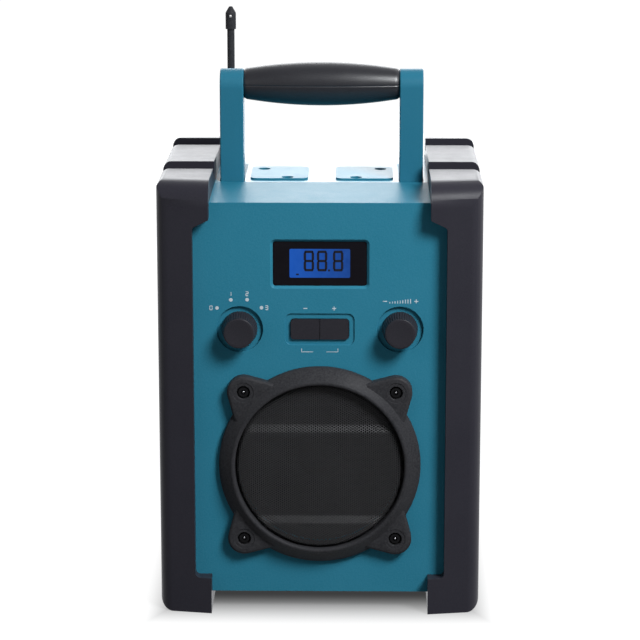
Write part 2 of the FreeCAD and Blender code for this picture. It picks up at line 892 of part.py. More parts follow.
def rear_housing():
    """The rear shell with the handle channels, the battery opening and the sockets."""
    body = new_body("rear_housing")
    pad(body, "housing_shell", "XZ_Plane", [case_outline(size(0))], split_y, back_y)
    pocket(body, "housing_hollow", "XZ_Plane", [case_outline(size("wall"))], split_y, back_inner)
    reach = top_inner + size("wall") / 2
    channel_left = handle_inner - "handle_clear" - "channel_wall"
    channel_right = handle_outer + "handle_clear" + "channel_wall"
    low = pivot_z - sweep - "channel_wall"
    for name, sign in (("left", -1), ("right", 1)):
        ends = sorted((channel_left * sign, channel_right * sign), key=lambda item: item.value)
        pad(body, "channel_block_" + name, "XY_Plane",
            [rectangle(ends[0], ends[1], split_y, channel_end + "channel_wall")], low, reach)
    for name, sign in (("left", -1), ("right", 1)):
        ends = sorted((size("pad_inner") * sign, pad_outer * sign), key=lambda item: item.value)
        pad_front = split_y + "pad_start"
        plate = rectangle(ends[0], ends[1], pad_front, pad_front + "pad_length", "pad_round")
        pad(body, "top_pad_" + name, "XY_Plane", [plate], reach, case_high + "pad_height")
    bosses = [circle(x, y, "well_boss") for x, y in well_spots()]
    well_low = case_high - "well_depth"
    pad(body, "well_bosses", "XY_Plane", bosses, well_low - "wall", reach)
    posts = [circle(x, z, "case_post") for x, z in case_screw_spots()]
    pad(body, "housing_posts", "XZ_Plane", posts, split_y, back_inner + 1)
    main_spots = four(main_post_x, main_post_x, main_post_low, main_post_high)
    posts = [circle(x, z, "post_radius") for x, z in main_spots]
    pad(body, "main_board_posts", "XZ_Plane", posts, main_board_y + "board_thick", back_inner + 1)
    socket_block(body)
    hinge_blocks(body)
    stem_boss = circle(-antenna_x, antenna_y, size("antenna_base"))
    pad(body, "antenna_boss", "XY_Plane", [stem_boss], top_inner - "wall", reach)
    handle_channels(body)
    wells = [circle(x, y, "well_radius") for x, y in well_spots()]
    pocket(body, "screw_wells", "XY_Plane", wells, well_low, case_high + MARGIN)
    threads = [circle(x, y, size("board_screw_radius") + "screw_fit") for x, y in well_spots()]
    pocket(body, "well_threads", "XY_Plane", threads, well_low - "wall" - 1, case_high)
    door_hole = square_foot(rectangle(-door_half - "door_fit", door_half + "door_fit",
                                      door_low - "door_fit", door_high + "door_fit", "door_round"))
    pocket(body, "door_opening", "XZ_Plane", [door_hole], back_inner - 1, back_y + 1)
    pin_reach = door_half + "door_pin_length" + "door_fit"
    pocket(body, "door_pin_holes", "YZ_Plane", [circle(hinge_y, hinge_z, size("door_pin") + "pin_fit")],
           -pin_reach, pin_reach)
    bores = [circle(x, z, "case_screw_bore") for x, z in case_screw_spots()]
    pocket(body, "screw_bores", "XZ_Plane", bores, split_y + "case_screw_seat", back_y + 1)
    threads = [circle(x, z, size("case_screw_radius") + "screw_fit") for x, z in case_screw_spots()]
    pocket(body, "screw_holes", "XZ_Plane", threads, split_y - 1, back_y)
    threads = [circle(sign * guard_screw_x, z, size("guard_screw_radius") + "screw_fit")
               for sign in HALVES for z in ("guard_screw_low", "guard_screw_high")]
    pocket(body, "guard_threads", "XZ_Plane", threads, back_inner - 1, back_y + 1)
    threads = [circle(x, z, size("board_screw_radius") + "screw_fit") for x, z in main_spots]
    pocket(body, "main_board_threads", "XZ_Plane", threads, main_board_y, back_inner)
    stem = circle(-antenna_x, antenna_y, size("antenna_collar") + "close_fit")
    pocket(body, "antenna_hole", "XY_Plane", [stem], top_inner - "wall" - 1, case_high + 1)
    seal_low = size("wall") / 2 - size("seal_width") / 2
    ring = [case_outline(seal_low), case_outline(seal_low + "seal_width")]
    pocket(body, "seal_groove", "XZ_Plane", ring, split_y, split_y + "seal_depth")
    return body


def well_spots():
    """The four screw wells of the top pads, set on two diagonals."""
    front = split_y + "well_front"
    rear = split_y + "well_back"
    return [(sign * size("well_inner"), front) for sign in HALVES] + [
        (sign * well_outer, rear) for sign in HALVES]


def handle_channels(body):
    """The two channels in which the feet of the handle turn back."""
    slope_foot = pivot_y + sweep * (1 / cosine("fold_angle") - tangent("fold_angle"))
    above = case_high + CHANNEL_RISE
    slope_end = channel_end + tangent("fold_angle") * CHANNEL_RISE
    corner = sweep * CHANNEL_ROUND
    side_view = [
        (pivot_y - sweep, above),
        (pivot_y - sweep, pivot_z - sweep, corner),
        (slope_foot, pivot_z - sweep, corner),
        (slope_end, above),
    ]
    left = handle_inner - "handle_clear"
    right = handle_outer + "handle_clear"
    for name, sign in (("left", -1), ("right", 1)):
        ends = sorted((left * sign, right * sign), key=lambda item: item.value)
        pocket(body, "channel_" + name, "YZ_Plane", [side_view], ends[0], ends[1])
        far = (handle_outer + "handle_clear" + "channel_wall") * sign
        near = (handle_inner - "handle_clear" - "channel_wall") * sign
        ends = sorted((near - size(sign), far), key=lambda item: item.value)
        pin = circle(pivot_y, pivot_z, size("pin_radius") + "pin_fit")
        pocket(body, "pin_hole_" + name, "YZ_Plane", [pin], ends[0], ends[1])


CHANNEL_RISE = 2
CHANNEL_ROUND = 0.9


def socket_block(body):
    """The thick place in the back wall with a recess, the socket holes and the flap's slot."""
    half_width = size("flap_half_width") + "flap_fit"
    half_height = size("flap_half_height") + "flap_fit"
    outer = rectangle(flap_middle - half_width - "wall", flap_middle + half_width + "wall",
                      socket_z - half_height - "wall", socket_z + half_height + "wall", "flap_round")
    pad(body, "socket_block", "XZ_Plane", [outer], socket_floor_y - "wall", back_inner + 1)
    inner = square_foot(rectangle(flap_middle - half_width, flap_middle + half_width,
                                  socket_z - half_height, socket_z + half_height, "flap_round"))
    pocket(body, "socket_recess", "XZ_Plane", [inner], socket_floor_y, back_y + 1)
    barrels = [circle(x, socket_z, size("socket_barrel") + "close_fit") for x in ("aux_x", "dc_x")]
    pocket(body, "socket_holes", "XZ_Plane", barrels, socket_floor_y - "wall" - 1, back_y)


def hinge_blocks(body):
    """Small blocks beside the battery opening that hold the door's pins."""
    start = door_half + "door_fit"
    for name, sign in (("left", -1), ("right", 1)):
        ends = sorted((start * sign, (start + "door_pin_length" + "wall") * sign),
                      key=lambda item: item.value)
        outline = rectangle(ends[0], ends[1], door_low, door_low + size("door_thick") * 3)
        pad(body, "hinge_block_" + name, "XZ_Plane", [outline], back_inner - "wall", back_inner + 1)


def seal_ring():
    """The rubber cord between the two shells."""
    body = new_body("housing_seal")
    start = size("wall") / 2 - size("seal_width") / 2 + SEAL_EASE
    ring = [case_outline(start), case_outline(start + "seal_width" - 2 * SEAL_EASE)]
    pad(body, "seal_cord", "XZ_Plane", ring, split_y, split_y + "seal_depth")
    return body


SEAL_EASE = 0.02


def handle_frame():
    """Two uprights with round feet and heads, and the bar that the grip sits on."""
    body = new_body("handle_frame", (0, pivot_y, 0))
    half_bar = size("bar_size") / 2
    bar = rectangle(-half_bar, half_bar, size("grip_middle") - half_bar, size("grip_middle") + half_bar)
    pad(body, "handle_bar", "YZ_Plane", [bar], -handle_inner - 1, handle_inner + 1)
    half = size("handle_deep") / 2
    side_view = rectangle(-half, half, pivot_z - half, "handle_top", half * ROUND_SHARE)
    upright = pad(body, "upright_right", "YZ_Plane", [side_view], handle_inner, handle_outer)
    mirror = body.newObject("PartDesign::Mirrored", "upright_left")
    mirror.Originals = [upright]
    plane = next(item for item in body.Origin.OriginFeatures if item.Role == "YZ_Plane")
    mirror.MirrorPlane = (plane, [""])
    body.Tip = mirror
    pin = circle(0, pivot_z, size("pin_radius") + "pin_fit")
    pocket(body, "pin_bores", "YZ_Plane", [pin], -handle_outer - 1, handle_outer + 1)
    return body


def handle_grip():
    """The barrel shaped rubber grip with a square bore for the bar."""
    body = new_body("handle_grip", (0, pivot_y, "grip_middle"))
    half = handle_inner - GRIP_EASE
    end = size("grip_end_radius")
    rise = size("grip_radius") - end
    bend = half * half / (rise * 2) * ROUND_SHARE
    profile = [(-half, 0), (half, 0), (half, end), (0, end + rise * 2, bend), (-half, end)]
    turn(body, "grip_barrel", "XZ_Plane", [profile], "H_Axis")
    half_bar = size("bar_size") / 2 + GRIP_EASE
    bore = rectangle(-half_bar, half_bar, -half_bar, half_bar)
    pocket(body, "grip_bore", "YZ_Plane", [bore], -half - 1, half + 1)
    return body


GRIP_EASE = 0.05


def handle_hardware():
    """The two hinge pins, the steel strap below the top and the screws that hold it."""
    start = handle_inner - "handle_clear" - "channel_wall"
    length = size("handle_thick") + size("handle_clear") * 2 + size("channel_wall") * 2
    pins = group("handle_pins", [
        rod("pin_right", "x", (start, pivot_y, pivot_z), "pin_radius", length),
        rod("pin_left", "x", (-start - length, pivot_y, pivot_z), "pin_radius", length),
    ])
    strap_high = case_high - "well_depth" - "wall"
    strap_low = strap_high - "strap_thick"
    front = split_y + "well_front" - "well_boss"
    back = split_y + "well_back" + "well_boss"
    half = handle_inner - "handle_clear" - "channel_wall" - "close_fit"
    plate = block("strap_plate", -half, half, front, back, strap_low, strap_high)
    holes = [rod("strap_hole_%d" % number, "z", (x, y, strap_low - 1),
                 size("board_screw_radius") + "screw_fit", size("strap_thick") + 2)
             for number, (x, y) in enumerate(well_spots())]
    strap = cut("handle_bracket", plate, *holes)
    strap.Label = "handle_bracket"
    seat = case_high - "well_depth"
    head = size("top_screw_head")
    screws = group("top_screws", [
        screw("top_screw_%d" % number, (x, y, seat), "-z", head, head,
              "board_screw_radius", "top_screw_length")
        for number, (x, y) in enumerate(well_spots())])
    return [pins, strap, screws]


def antenna():
    """The forked socket, the pin, the knuckle, the whip and its tip."""
    x = -antenna_x
    half_gap = size("antenna_tongue") / 2 + "close_fit"
    cheek_outer = half_gap + "antenna_cheek"
    eye = size("antenna_eye")
    base_high = case_high + "antenna_base_height"
    base = rod("antenna_base_disc", "z", (x, antenna_y, case_high), "antenna_base", "antenna_base_height")
    stem_length = size("wall") * 2 + 1
    stem = rod("antenna_stem", "z", (x, antenna_y, case_high - stem_length), "antenna_collar", stem_length)
    cheeks = []
    bores = []
    for name, front in (("front", antenna_y - cheek_outer), ("back", antenna_y + half_gap)):
        cheeks.append(rod("cheek_eye_" + name, "y", (x, front, antenna_pivot_z), eye, "antenna_cheek"))
        cheeks.append(block("cheek_" + name, x - eye, x + eye, front, front + "antenna_cheek",
                            base_high - 1, antenna_pivot_z))
    bores.append(rod("cheek_bore", "y", (x, antenna_y - cheek_outer - 1, antenna_pivot_z),
                     size("antenna_pin") + "screw_fit", cheek_outer * 2 + 2))
    fork = fuse("antenna_fork", base, stem, *cheeks)
    bound = rod("antenna_bound", "z", (x, antenna_y, case_high - stem_length), "antenna_base",
                stem_length + size("antenna_pivot") + eye + 1)
    socket = cut("antenna_socket", common("antenna_fork_round", fork, bound), *bores)
    socket.Label = "antenna_socket"
    pin = rod("antenna_pin", "y", (x, antenna_y - cheek_outer + 1, antenna_pivot_z), "antenna_pin",
              cheek_outer * 2 - 2)
    tongue_front = antenna_y - size("antenna_tongue") / 2
    collar_low = antenna_pivot_z + "antenna_collar_start"
    collar_high = antenna_pivot_z + "antenna_collar_end"
    knuckle = cut(
        "antenna_knuckle",
        fuse("knuckle_body",
             rod("knuckle_eye", "y", (x, tongue_front, antenna_pivot_z), eye, "antenna_tongue"),
             block("knuckle_neck", x - size("antenna_collar") * NECK_SHARE,
                   x + size("antenna_collar") * NECK_SHARE, tongue_front,
                   tongue_front + "antenna_tongue", antenna_pivot_z, collar_low + 1),
             rod("knuckle_collar", "z", (x, antenna_y, collar_low), "antenna_collar",
                 collar_high - collar_low)),
        rod("knuckle_bore", "y", (x, tongue_front - 1, antenna_pivot_z),
            size("antenna_pin") + "screw_fit", size("antenna_tongue") + 2),
        rod("knuckle_socket", "z", (x, antenna_y, collar_low + 1), "whip_radius", "antenna_collar_end"))
    knuckle.Label = "antenna_knuckle"
    tip_low = size("antenna_top") - "tip_length"
    whip_low = collar_low + 1
    whip = rod("antenna_whip", "z", (x, antenna_y, whip_low), "whip_radius", tip_low + 2 - whip_low)
    tip = antenna_cap(x, tip_low)
    return [socket, pin, knuckle, whip, tip]


NECK_SHARE = 0.9


def antenna_cap(x, low):
    """The pointed cap on the whip, with a small hole through it."""
    body = new_body("antenna_tip", (x, antenna_y, low))
    outline = [
        (0, 0),
        ("tip_radius", 0),
        ("tip_radius", size("tip_length") - "tip_point", "tip_radius"),
        (size("tip_radius") * TIP_SHARE, "tip_length"),
        (0, "tip_length"),
    ]
    turn(body, "cap", "XZ_Plane", [outline], "V_Axis")
    pocket(body, "cap_bore", "XY_Plane", [circle(0, 0, "whip_radius")], -1, 2)
    hole = circle(0, size("tip_length") - size("tip_point") * 1.5, "tip_hole")
    pocket(body, "cap_hole", "XZ_Plane", [hole], -size("tip_radius") - 1, size("tip_radius") + 1)
    return body


TIP_SHARE = 0.3


def speaker_ring():
    """The conical ring over the grille, with four ears for its screws."""
    body = new_body("speaker_ring", (0, panel_y, "speaker_height"))
    seat = size("grille_flange") + "close_fit"
    step = size("grille_thick") + "close_fit"
    section = [
        (seat, 0),
        ("ring_radius", 0),
        ("ring_radius", -size("ring_edge")),
        ("ring_shoulder", -size("ring_proud")),
        ("ring_opening", -size("ring_proud")),
        ("ring_opening", -step),
        (seat, -step),
    ]
    turn(body, "ring", "XY_Plane", [section], "V_Axis")
    root = size("ring_shoulder") + 1
    tip = size("ear_place") + "ear_radius"

    def corner(out, across, radius=None):
        spot = ((size(out) - across) * DIAGONAL, (size(out) + across) * DIAGONAL)
        return spot if radius is None else spot + (radius,)

    end = size("ear_radius") * ROUND_SHARE
    outline = [
        corner(root, -size("ear_root")),
        corner(tip, -size("ear_radius"), end),
        corner(tip, size("ear_radius"), end),
        corner(root, size("ear_root")),
    ]
    ear = pad(body, "ear", "XZ_Plane", [outline], -size("ear_proud"), 0)
    spot = size("ear_place") * DIAGONAL
    well = pocket(body, "ear_well", "XZ_Plane", [circle(spot, spot, seat_ring + EAR_WELL_EASE)],
                  -size("ear_proud") - 1, size("ear_screw_depth") - "ear_proud")
    hole = pocket(body, "ear_hole", "XZ_Plane", [circle(spot, spot, size("ring_screw_radius") + "screw_fit")],
                  -size("ear_proud"), 1)
    polar(body, "ears", [ear, well, hole], "Y_Axis", 4)
    return body


EAR_WELL_EASE = 1


def ring_screws():
    """The four socket head screws of the ring."""
    seat = panel_y - "ear_proud" + "ear_screw_depth"
    return group("ring_screws", [
        screw("ring_screw_%d" % number, (x, seat, z), "y", "ring_screw_head",
              "ring_screw_head_height", "ring_screw_radius", "ring_screw_length")
        for number, (x, z) in enumerate(ear_spots())])


def grille_profile(front, back):
    """Side view of the stepped sheet between two depths."""
    half = size("grille_band_width") / 2
    inner = size("grille_band") - half
    outer = size("grille_band") + half
    reach = size("grille_flange") + 1
    low = -size(front)
    high = low - "grille_step"
    return [
        (back, -reach), (back, reach), (low, reach), (low, outer), (high, inner),
        (high, -inner), (low, -outer), (low, -reach),
    ][::-1]


def speaker_grille():
    """The formed sheet: a flat flange, a skirt and a panel with two bent bands."""
    body = new_body("speaker_grille", (0, panel_y, "speaker_height"))
    rise = size("grille_rise")
    thick = size("grille_thick")
    span = size("grille_flange")
    pad(body, "grille_block", "YZ_Plane", [grille_profile(rise, 0)], -span, span)
    ring = [circle(0, 0, span * 2), circle(0, 0, "grille_pan")]
    pocket(body, "grille_round", "XZ_Plane", ring, -rise - MARGIN, 0)
    pad(body, "grille_rim", "XZ_Plane", [circle(0, 0, "grille_flange")], -thick, 0)
    pan = body.newObject("PartDesign::Pocket", "grille_pan_cut")
    drawing = sketch(body, "grille_pan_sketch", "XZ_Plane",
                     [circle(0, 0, size("grille_pan") - thick)], (0, 0, 0))
    pan.Profile = (drawing, [""])
    bind(pan, "Length", rise - thick)
    pan.Reversed = True
    inner_step = [
        (0, -size("grille_band") + size("grille_band_width") / 2 + thick),
        (0, size("grille_band") - size("grille_band_width") / 2 - thick),
        (-rise - "grille_step" + thick, size("grille_band") - size("grille_band_width") / 2 - thick),
        (-rise - "grille_step" + thick, -size("grille_band") + size("grille_band_width") / 2 + thick),
    ]
    pocket(body, "grille_step_cut", "YZ_Plane", [inner_step],
           -size("grille_pan") * STEP_SHARE, size("grille_pan") * STEP_SHARE)
    return body


STEP_SHARE = 0.8


def driver():
    """The loudspeaker behind the front cover, its gasket and its screws."""
    middle = (0, 0, "speaker_height")
    gasket = new_body("speaker_gasket", middle)
    ring = [circle(0, 0, "basket_radius"), circle(0, 0, "surround_outer")]
    pad(gasket, "gasket_ring", "XZ_Plane", ring, cover_inner, gasket_back)
    holes = [circle(x, z, size("speaker_screw_radius") + "screw_fit") for x, z in driver_spots()]
    pocket(gasket, "gasket_holes", "XZ_Plane", holes, cover_inner - 1, gasket_back + 1)

    basket = new_body("speaker_basket", middle)
    floor_y = gasket_back + "basket_depth"
    sheet_thick = size("basket_sheet")
    section = [
        ("basket_radius", gasket_back),
        ("basket_radius", basket_back),
        ("basket_mouth", basket_back),
        ("basket_floor", floor_y),
        ("cone_throat", floor_y),
        ("cone_throat", floor_y - sheet_thick),
        (size("basket_floor") - sheet_thick, floor_y - sheet_thick),
        ("surround_outer", gasket_back),
    ]
    turn(basket, "basket_shell", "XY_Plane", [section], "V_Axis")
    pocket(basket, "basket_holes", "XZ_Plane", holes, gasket_back - 1, basket_back + 1)

    surround = new_body("speaker_surround", middle)
    roll = size("surround_roll")
    inner = size("cone_radius")
    outer = size("surround_outer")
    crest = (inner + outer) / 2
    section = [
        (inner, gasket_back - SKIN),
        (inner, gasket_back),
        (outer, gasket_back),
        (outer, gasket_back - SKIN),
        (crest, gasket_back - roll, roll * 0.5),
    ]
    turn(surround, "surround_roll", "XY_Plane", [section], "V_Axis")

    cone = new_body("speaker_cone", middle)
    throat_y = gasket_back + "cone_depth"
    section = [
        ("cone_radius", gasket_back),
        (size("cone_radius") - "cone_sheet", gasket_back),
        ("cone_throat", throat_y - "cone_sheet"),
        ("cone_throat", floor_y - sheet_thick),
        (size("cone_throat") + "cone_sheet", floor_y - sheet_thick),
        (size("cone_throat") + "cone_sheet", throat_y),
    ]
    turn(cone, "cone_shell", "XY_Plane", [section], "V_Axis")

    cap = new_body("speaker_dust_cap", middle)
    throat = size("cone_throat")
    front = throat_y - "cone_sheet"
    section = [(0, front), (throat, front), (throat * 0.6, front - size("dust_cap_rise") * 0.8), (0, front - "dust_cap_rise")]
    turn(cap, "cap_dome", "XY_Plane", [section], "V_Axis")

    magnet = rod("speaker_magnet", "y", (0, floor_y, "speaker_height"), "magnet_radius", "magnet_length")
    screws = group("speaker_screws", [
        screw("speaker_screw_%d" % number, (x, basket_back, z + speaker_z), "-y", "speaker_screw_head",
              "speaker_screw_radius", "speaker_screw_radius", SPEAKER_SCREW_REACH)
        for number, (x, z) in enumerate(driver_spots())])
    return [gasket, basket, surround, cone, cap, magnet, screws]


SKIN = 0.6
SPEAKER_SCREW_REACH = 4.5


def driver_spots():
    """Where the screws of the loudspeaker stand, measured from its middle."""
    reach = size("speaker_screw_place")
    return [(0, reach), (0, -reach), (reach, 0), (-reach, 0)]


def display():
    """The window, the display module, the control board and its screws."""
    level = window_z
    window = new_body("display_window")
    outline = rectangle(-size("window_half_width"), "window_half_width",
                        level - "window_half_height", level + "window_half_height", "window_round")
    pad(window, "lens", "XZ_Plane", [outline], window_y, window_back)
    module = block("display_module", -size("module_half_width"), "module_half_width", boss_back, board_y,
                   level - "module_half_height", level + "module_half_height")
    plate = block("control_plate", -size("board_half_width"), "board_half_width", board_y,
                  board_y + "board_thick", board_low, board_high)
    spots = four(post_x, post_x, post_low, post_high)
    holes = [rod("control_hole_%d" % number, "y", (x, board_y - 1, z),
                 size("board_screw_radius") + "screw_fit", size("board_thick") + 2)
             for number, (x, z) in enumerate(spots)]
    board = cut("control_board", plate, *holes)
    board.Label = "control_board"
    return [window, module, board]


def board_screws():
    """The screws of the control board and of the main board, in one node."""
    items = []
    for number, (x, z) in enumerate(four(post_x, post_x, post_low, post_high)):
        items.append(screw("control_screw_%d" % number, (x, board_y + "board_thick", z), "-y",
                           "board_screw_head", "board_screw_head", "board_screw_radius",
                           "board_screw_length"))
    spots = four(main_post_x, main_post_x, main_post_low, main_post_high)
    for number, (x, z) in enumerate(spots):
        items.append(screw("main_screw_%d" % number, (x, main_board_y, z), "y",
                           "board_screw_head", "board_screw_head", "board_screw_radius",
                           "board_screw_length"))
    return group("board_screws", items)


def knob(label, sign):
    """A fluted, slightly conical knob with a hub, made hollow from behind."""
    back = knob_floor - "knob_clear"
    body = new_body(label, (sign * size("knob_place"), back, control_z))
    length = back - knob_face
    outline = [
        (0, 0),
        ("knob_radius", 0),
        ("knob_front_radius", -length, "knob_edge"),
        (0, -length),
    ]
    turn(body, label + "_cone", "XY_Plane", [outline], "V_Axis")
    cavity = [circle(0, 0, "knob_cavity"), circle(0, 0, "knob_hub")]
    pocket(body, label + "_cavity", "XZ_Plane", cavity, -length + "knob_skin", 1)
    pocket(body, label + "_bore", "XZ_Plane", [circle(0, 0, "shaft_radius")], -size("shaft_grip"), 1)
    flute = pocket(body, label + "_flute", "XZ_Plane", [circle(0, size("knob_radius"), "flute_radius")],
                   -length - 1, 1)
    polar(body, label + "_flutes", [flute], "Y_Axis", "knob_flutes")
    return body


def rotary(label, shaft_label, sign):
    """The switch or potentiometer behind a knob, and its shaft."""
    x = sign * size("knob_place")
    level = control_z
    half = size("switch_half_width")
    front = board_y - "switch_length"
    can = block(label + "_can", x - half, x + half, front, board_y, level - half, level + half)
    bush_front = boss_back - "wall"
    bush = rod(label + "_bush", "y", (x, bush_front, level), size("shaft_hole") - "close_fit",
               front - bush_front + 1)
    bore = rod(label + "_bore", "y", (x, bush_front - 1, level), size("shaft_radius") + "screw_fit",
               board_y - bush_front - 1)
    control = cut(label, fuse(label + "_shell", can, bush), bore)
    control.Label = label
    back = knob_floor - "knob_clear"
    shaft_front = back - "shaft_grip"
    shaft = rod(shaft_label, "y", (x, shaft_front, level), "shaft_radius", board_y - 3 - shaft_front)
    shaft.Label = shaft_label
    return [control, shaft]


def button(label, sign):
    """A push button with a lip behind the cover and a plunger towards its switch."""
    body = new_body(label)
    level = control_z
    gap = size("button_gap") / 2
    near = gap * sign
    far = (gap + "button_width") * sign
    ends = sorted((near, far), key=lambda item: item.value)
    low = level - "button_half_height"
    high = level + "button_half_height"
    front = well_floor - "button_proud"
    cap_back = button_back + "button_gap" + BUTTON_LIP_THICK
    corner = size("button_round")
    outline = rectangle(ends[0], ends[1], low, high)
    outline = [spot + (corner if abs(spot[0].value) > far.value * sign / 2 else BUTTON_INNER_ROUND,)
               for spot in outline]
    pad(body, label + "_cap", "XZ_Plane", [outline], front, cap_back)
    lip_far = far + size("button_lip") * sign
    ends = sorted((near, lip_far), key=lambda item: item.value)
    lip = rectangle(ends[0], ends[1], low - "button_lip", high + "button_lip")
    pad(body, label + "_lip", "XZ_Plane", [lip], cap_back - BUTTON_LIP_THICK, cap_back)
    stem_end = board_y - "tact_length" - "button_travel" - "button_gap"
    middle = (near + far) / 2
    pad(body, label + "_stem", "XZ_Plane", [circle(middle, level, "plunger_radius")],
        cap_back - 1, stem_end)
    return body


BUTTON_LIP_THICK = 1.5
BUTTON_INNER_ROUND = 0.5


def button_switches():
    """The two small push switches on the control board."""
    items = []
    middle = (size("button_gap") + "button_width") / 2
    for name, sign in (("down", -1), ("up", 1)):
        half = size("tact_half_width")
        x = middle * sign
        items.append(block("tact_" + name, x - half, x + half, board_y - "tact_length", board_y,
                           control_z - half, control_z + half))
    return group("button_switches", items)


def case_screws():
    """The four long screws that hold the shells together."""
    seat = split_y + "case_screw_seat"
    return group("case_screws", [
        screw("case_screw_%d" % number, (x, seat, z), "-y", "case_screw_head", "case_screw_head",
              "case_screw_radius", "case_screw_length")
        for number, (x, z) in enumerate(case_screw_spots())])


def guard_screws():
    """The screws that hold the guards to the back."""
    seat = size("guard_back") - "guard_screw_sink"
    items = []
    for name, sign in (("left", -1), ("right", 1)):
        for level in ("guard_screw_low", "guard_screw_high"):
            items.append(screw("%s_%s" % (level, name), (sign * guard_screw_x, seat, level), "-y",
                               "guard_screw_head", size("guard_screw_head") * 0.6,
                               "guard_screw_radius", "guard_screw_length"))
    return group("guard_screws", items)


def battery_parts():
    """The tray, the cells, their contacts, the door and its seal."""
    thick = size("tray_wall")
    tray = new_body("battery_tray")
    lip = size("tray_lip")
    lip_outline = rectangle(-bay_half - lip, bay_half + lip, bay_low - lip, bay_high + lip, "door_round")
    pad(tray, "tray_flange", "XZ_Plane", [lip_outline], back_inner - "tray_lip_thick", back_inner)
    outer = rectangle(-bay_half - thick, bay_half + thick, bay_low - thick, bay_high + thick, thick)
    pad(tray, "tray_box", "XZ_Plane", [outer], bay_front - thick, back_inner - "tray_lip_thick")
    inner = rectangle(-bay_half, bay_half, bay_low, bay_high)
    pocket(tray, "tray_bay", "XZ_Plane", [inner], bay_front, back_inner + 1)
    notches = []
    for sign in HALVES:
        near = (door_half + "door_fit" - "close_fit") * sign
        far = (bay_half + lip + 1) * sign
        ends = sorted((near, far), key=lambda item: item.value)
        notches.append(rectangle(ends[0], ends[1], door_low - "close_fit",
                                 door_low + size("door_thick") * 3 + "close_fit"))
    pocket(tray, "hinge_notches", "XZ_Plane", notches, back_inner - "wall", back_inner + 1)

    cells = []
    plates = []
    start = -bay_half + "cell_gap" + "cell_radius"
    axis_y = bay_front + "cell_gap" + "cell_radius"
    tube_low = bay_low + "contact_room"
    for column in range(3):
        x = start + cell_pitch * column
        for cell_row in range(2):
            low = tube_low + size("cell_length") * cell_row
            cells.append(rod("cell_%d_%d" % (column, cell_row), "z", (x, axis_y, low),
                             size("cell_radius") - CELL_EASE, size("cell_length") - CELL_EASE))
        half = size("cell_radius") * CONTACT_SHARE
        for name, low in (("low", bay_low), ("high", bay_high - "contact_thick")):
            plates.append(block("contact_%s_%d" % (name, column), x - half, x + half,
                                axis_y - half, axis_y + half, low, low + "contact_thick"))
            spring_low = bay_low + "contact_thick"
            if name == "high":
                spring_low = bay_high - "contact_room" + CELL_EASE
            spring_length = size("contact_room") - "contact_thick" - CELL_EASE
            plates.append(rod("spring_%s_%d" % (name, column), "z", (x, axis_y, spring_low),
                              half * CONTACT_SHARE, spring_length))
    pieces = [fuse("contact_pair_%d" % number, plates[number * 2], plates[number * 2 + 1])
              for number in range(len(plates) // 2)]

    door = new_body("battery_door")
    outline = square_foot(rectangle(-door_half, door_half, door_low, door_high,
                                    size("door_round") - "door_fit"))
    pad(door, "door_plate", "XZ_Plane", [outline], door_front, back_y)
    trim = [
        (door_front - 1, door_low - 1),
        (back_y + 1, door_low - 1),
        (back_y + 1, door_low + hinge_radius),
        (back_y, door_low + hinge_radius),
        (back_y, door_low, hinge_radius * ROUND_SHARE),
        (door_front, door_low, hinge_radius * ROUND_SHARE),
        (door_front, door_low + hinge_radius),
        (door_front - 1, door_low + hinge_radius),
    ]
    pocket(door, "door_knuckle", "YZ_Plane", [trim], -door_half - 1, door_half + 1)
    pin_reach = door_half + "door_pin_length"
    pad(door, "door_pins", "YZ_Plane", [circle(hinge_y, hinge_z, "door_pin")], -pin_reach, pin_reach)
    tab = rectangle(-size("door_tab_half_width"), "door_tab_half_width",
                    door_high - size("door_round"),
                    door_high + size("door_fit") / 2)
    pad(door, "door_tab", "XZ_Plane", [tab], back_y - size("door_thick") / 2, back_y + "door_tab_depth")

    seal = new_body("door_seal")
    gap = size("door_seal_gap")
    wide = size("door_seal_width")
    outer = rectangle(-bay_half + gap, bay_half - gap, bay_low + gap, bay_high - gap)
    inner = rectangle(-bay_half + gap + wide, bay_half - gap - wide, bay_low + gap + wide,
                      bay_high - gap - wide)
    pad(seal, "seal_band", "XZ_Plane", [outer, inner], back_inner - SEAL_REACH, door_front)
    return [tray, group("battery_cells", cells), group("battery_contacts", pieces), door, seal]


CELL_EASE = 0.1
CONTACT_SHARE = 0.5
SEAL_REACH = 0.2


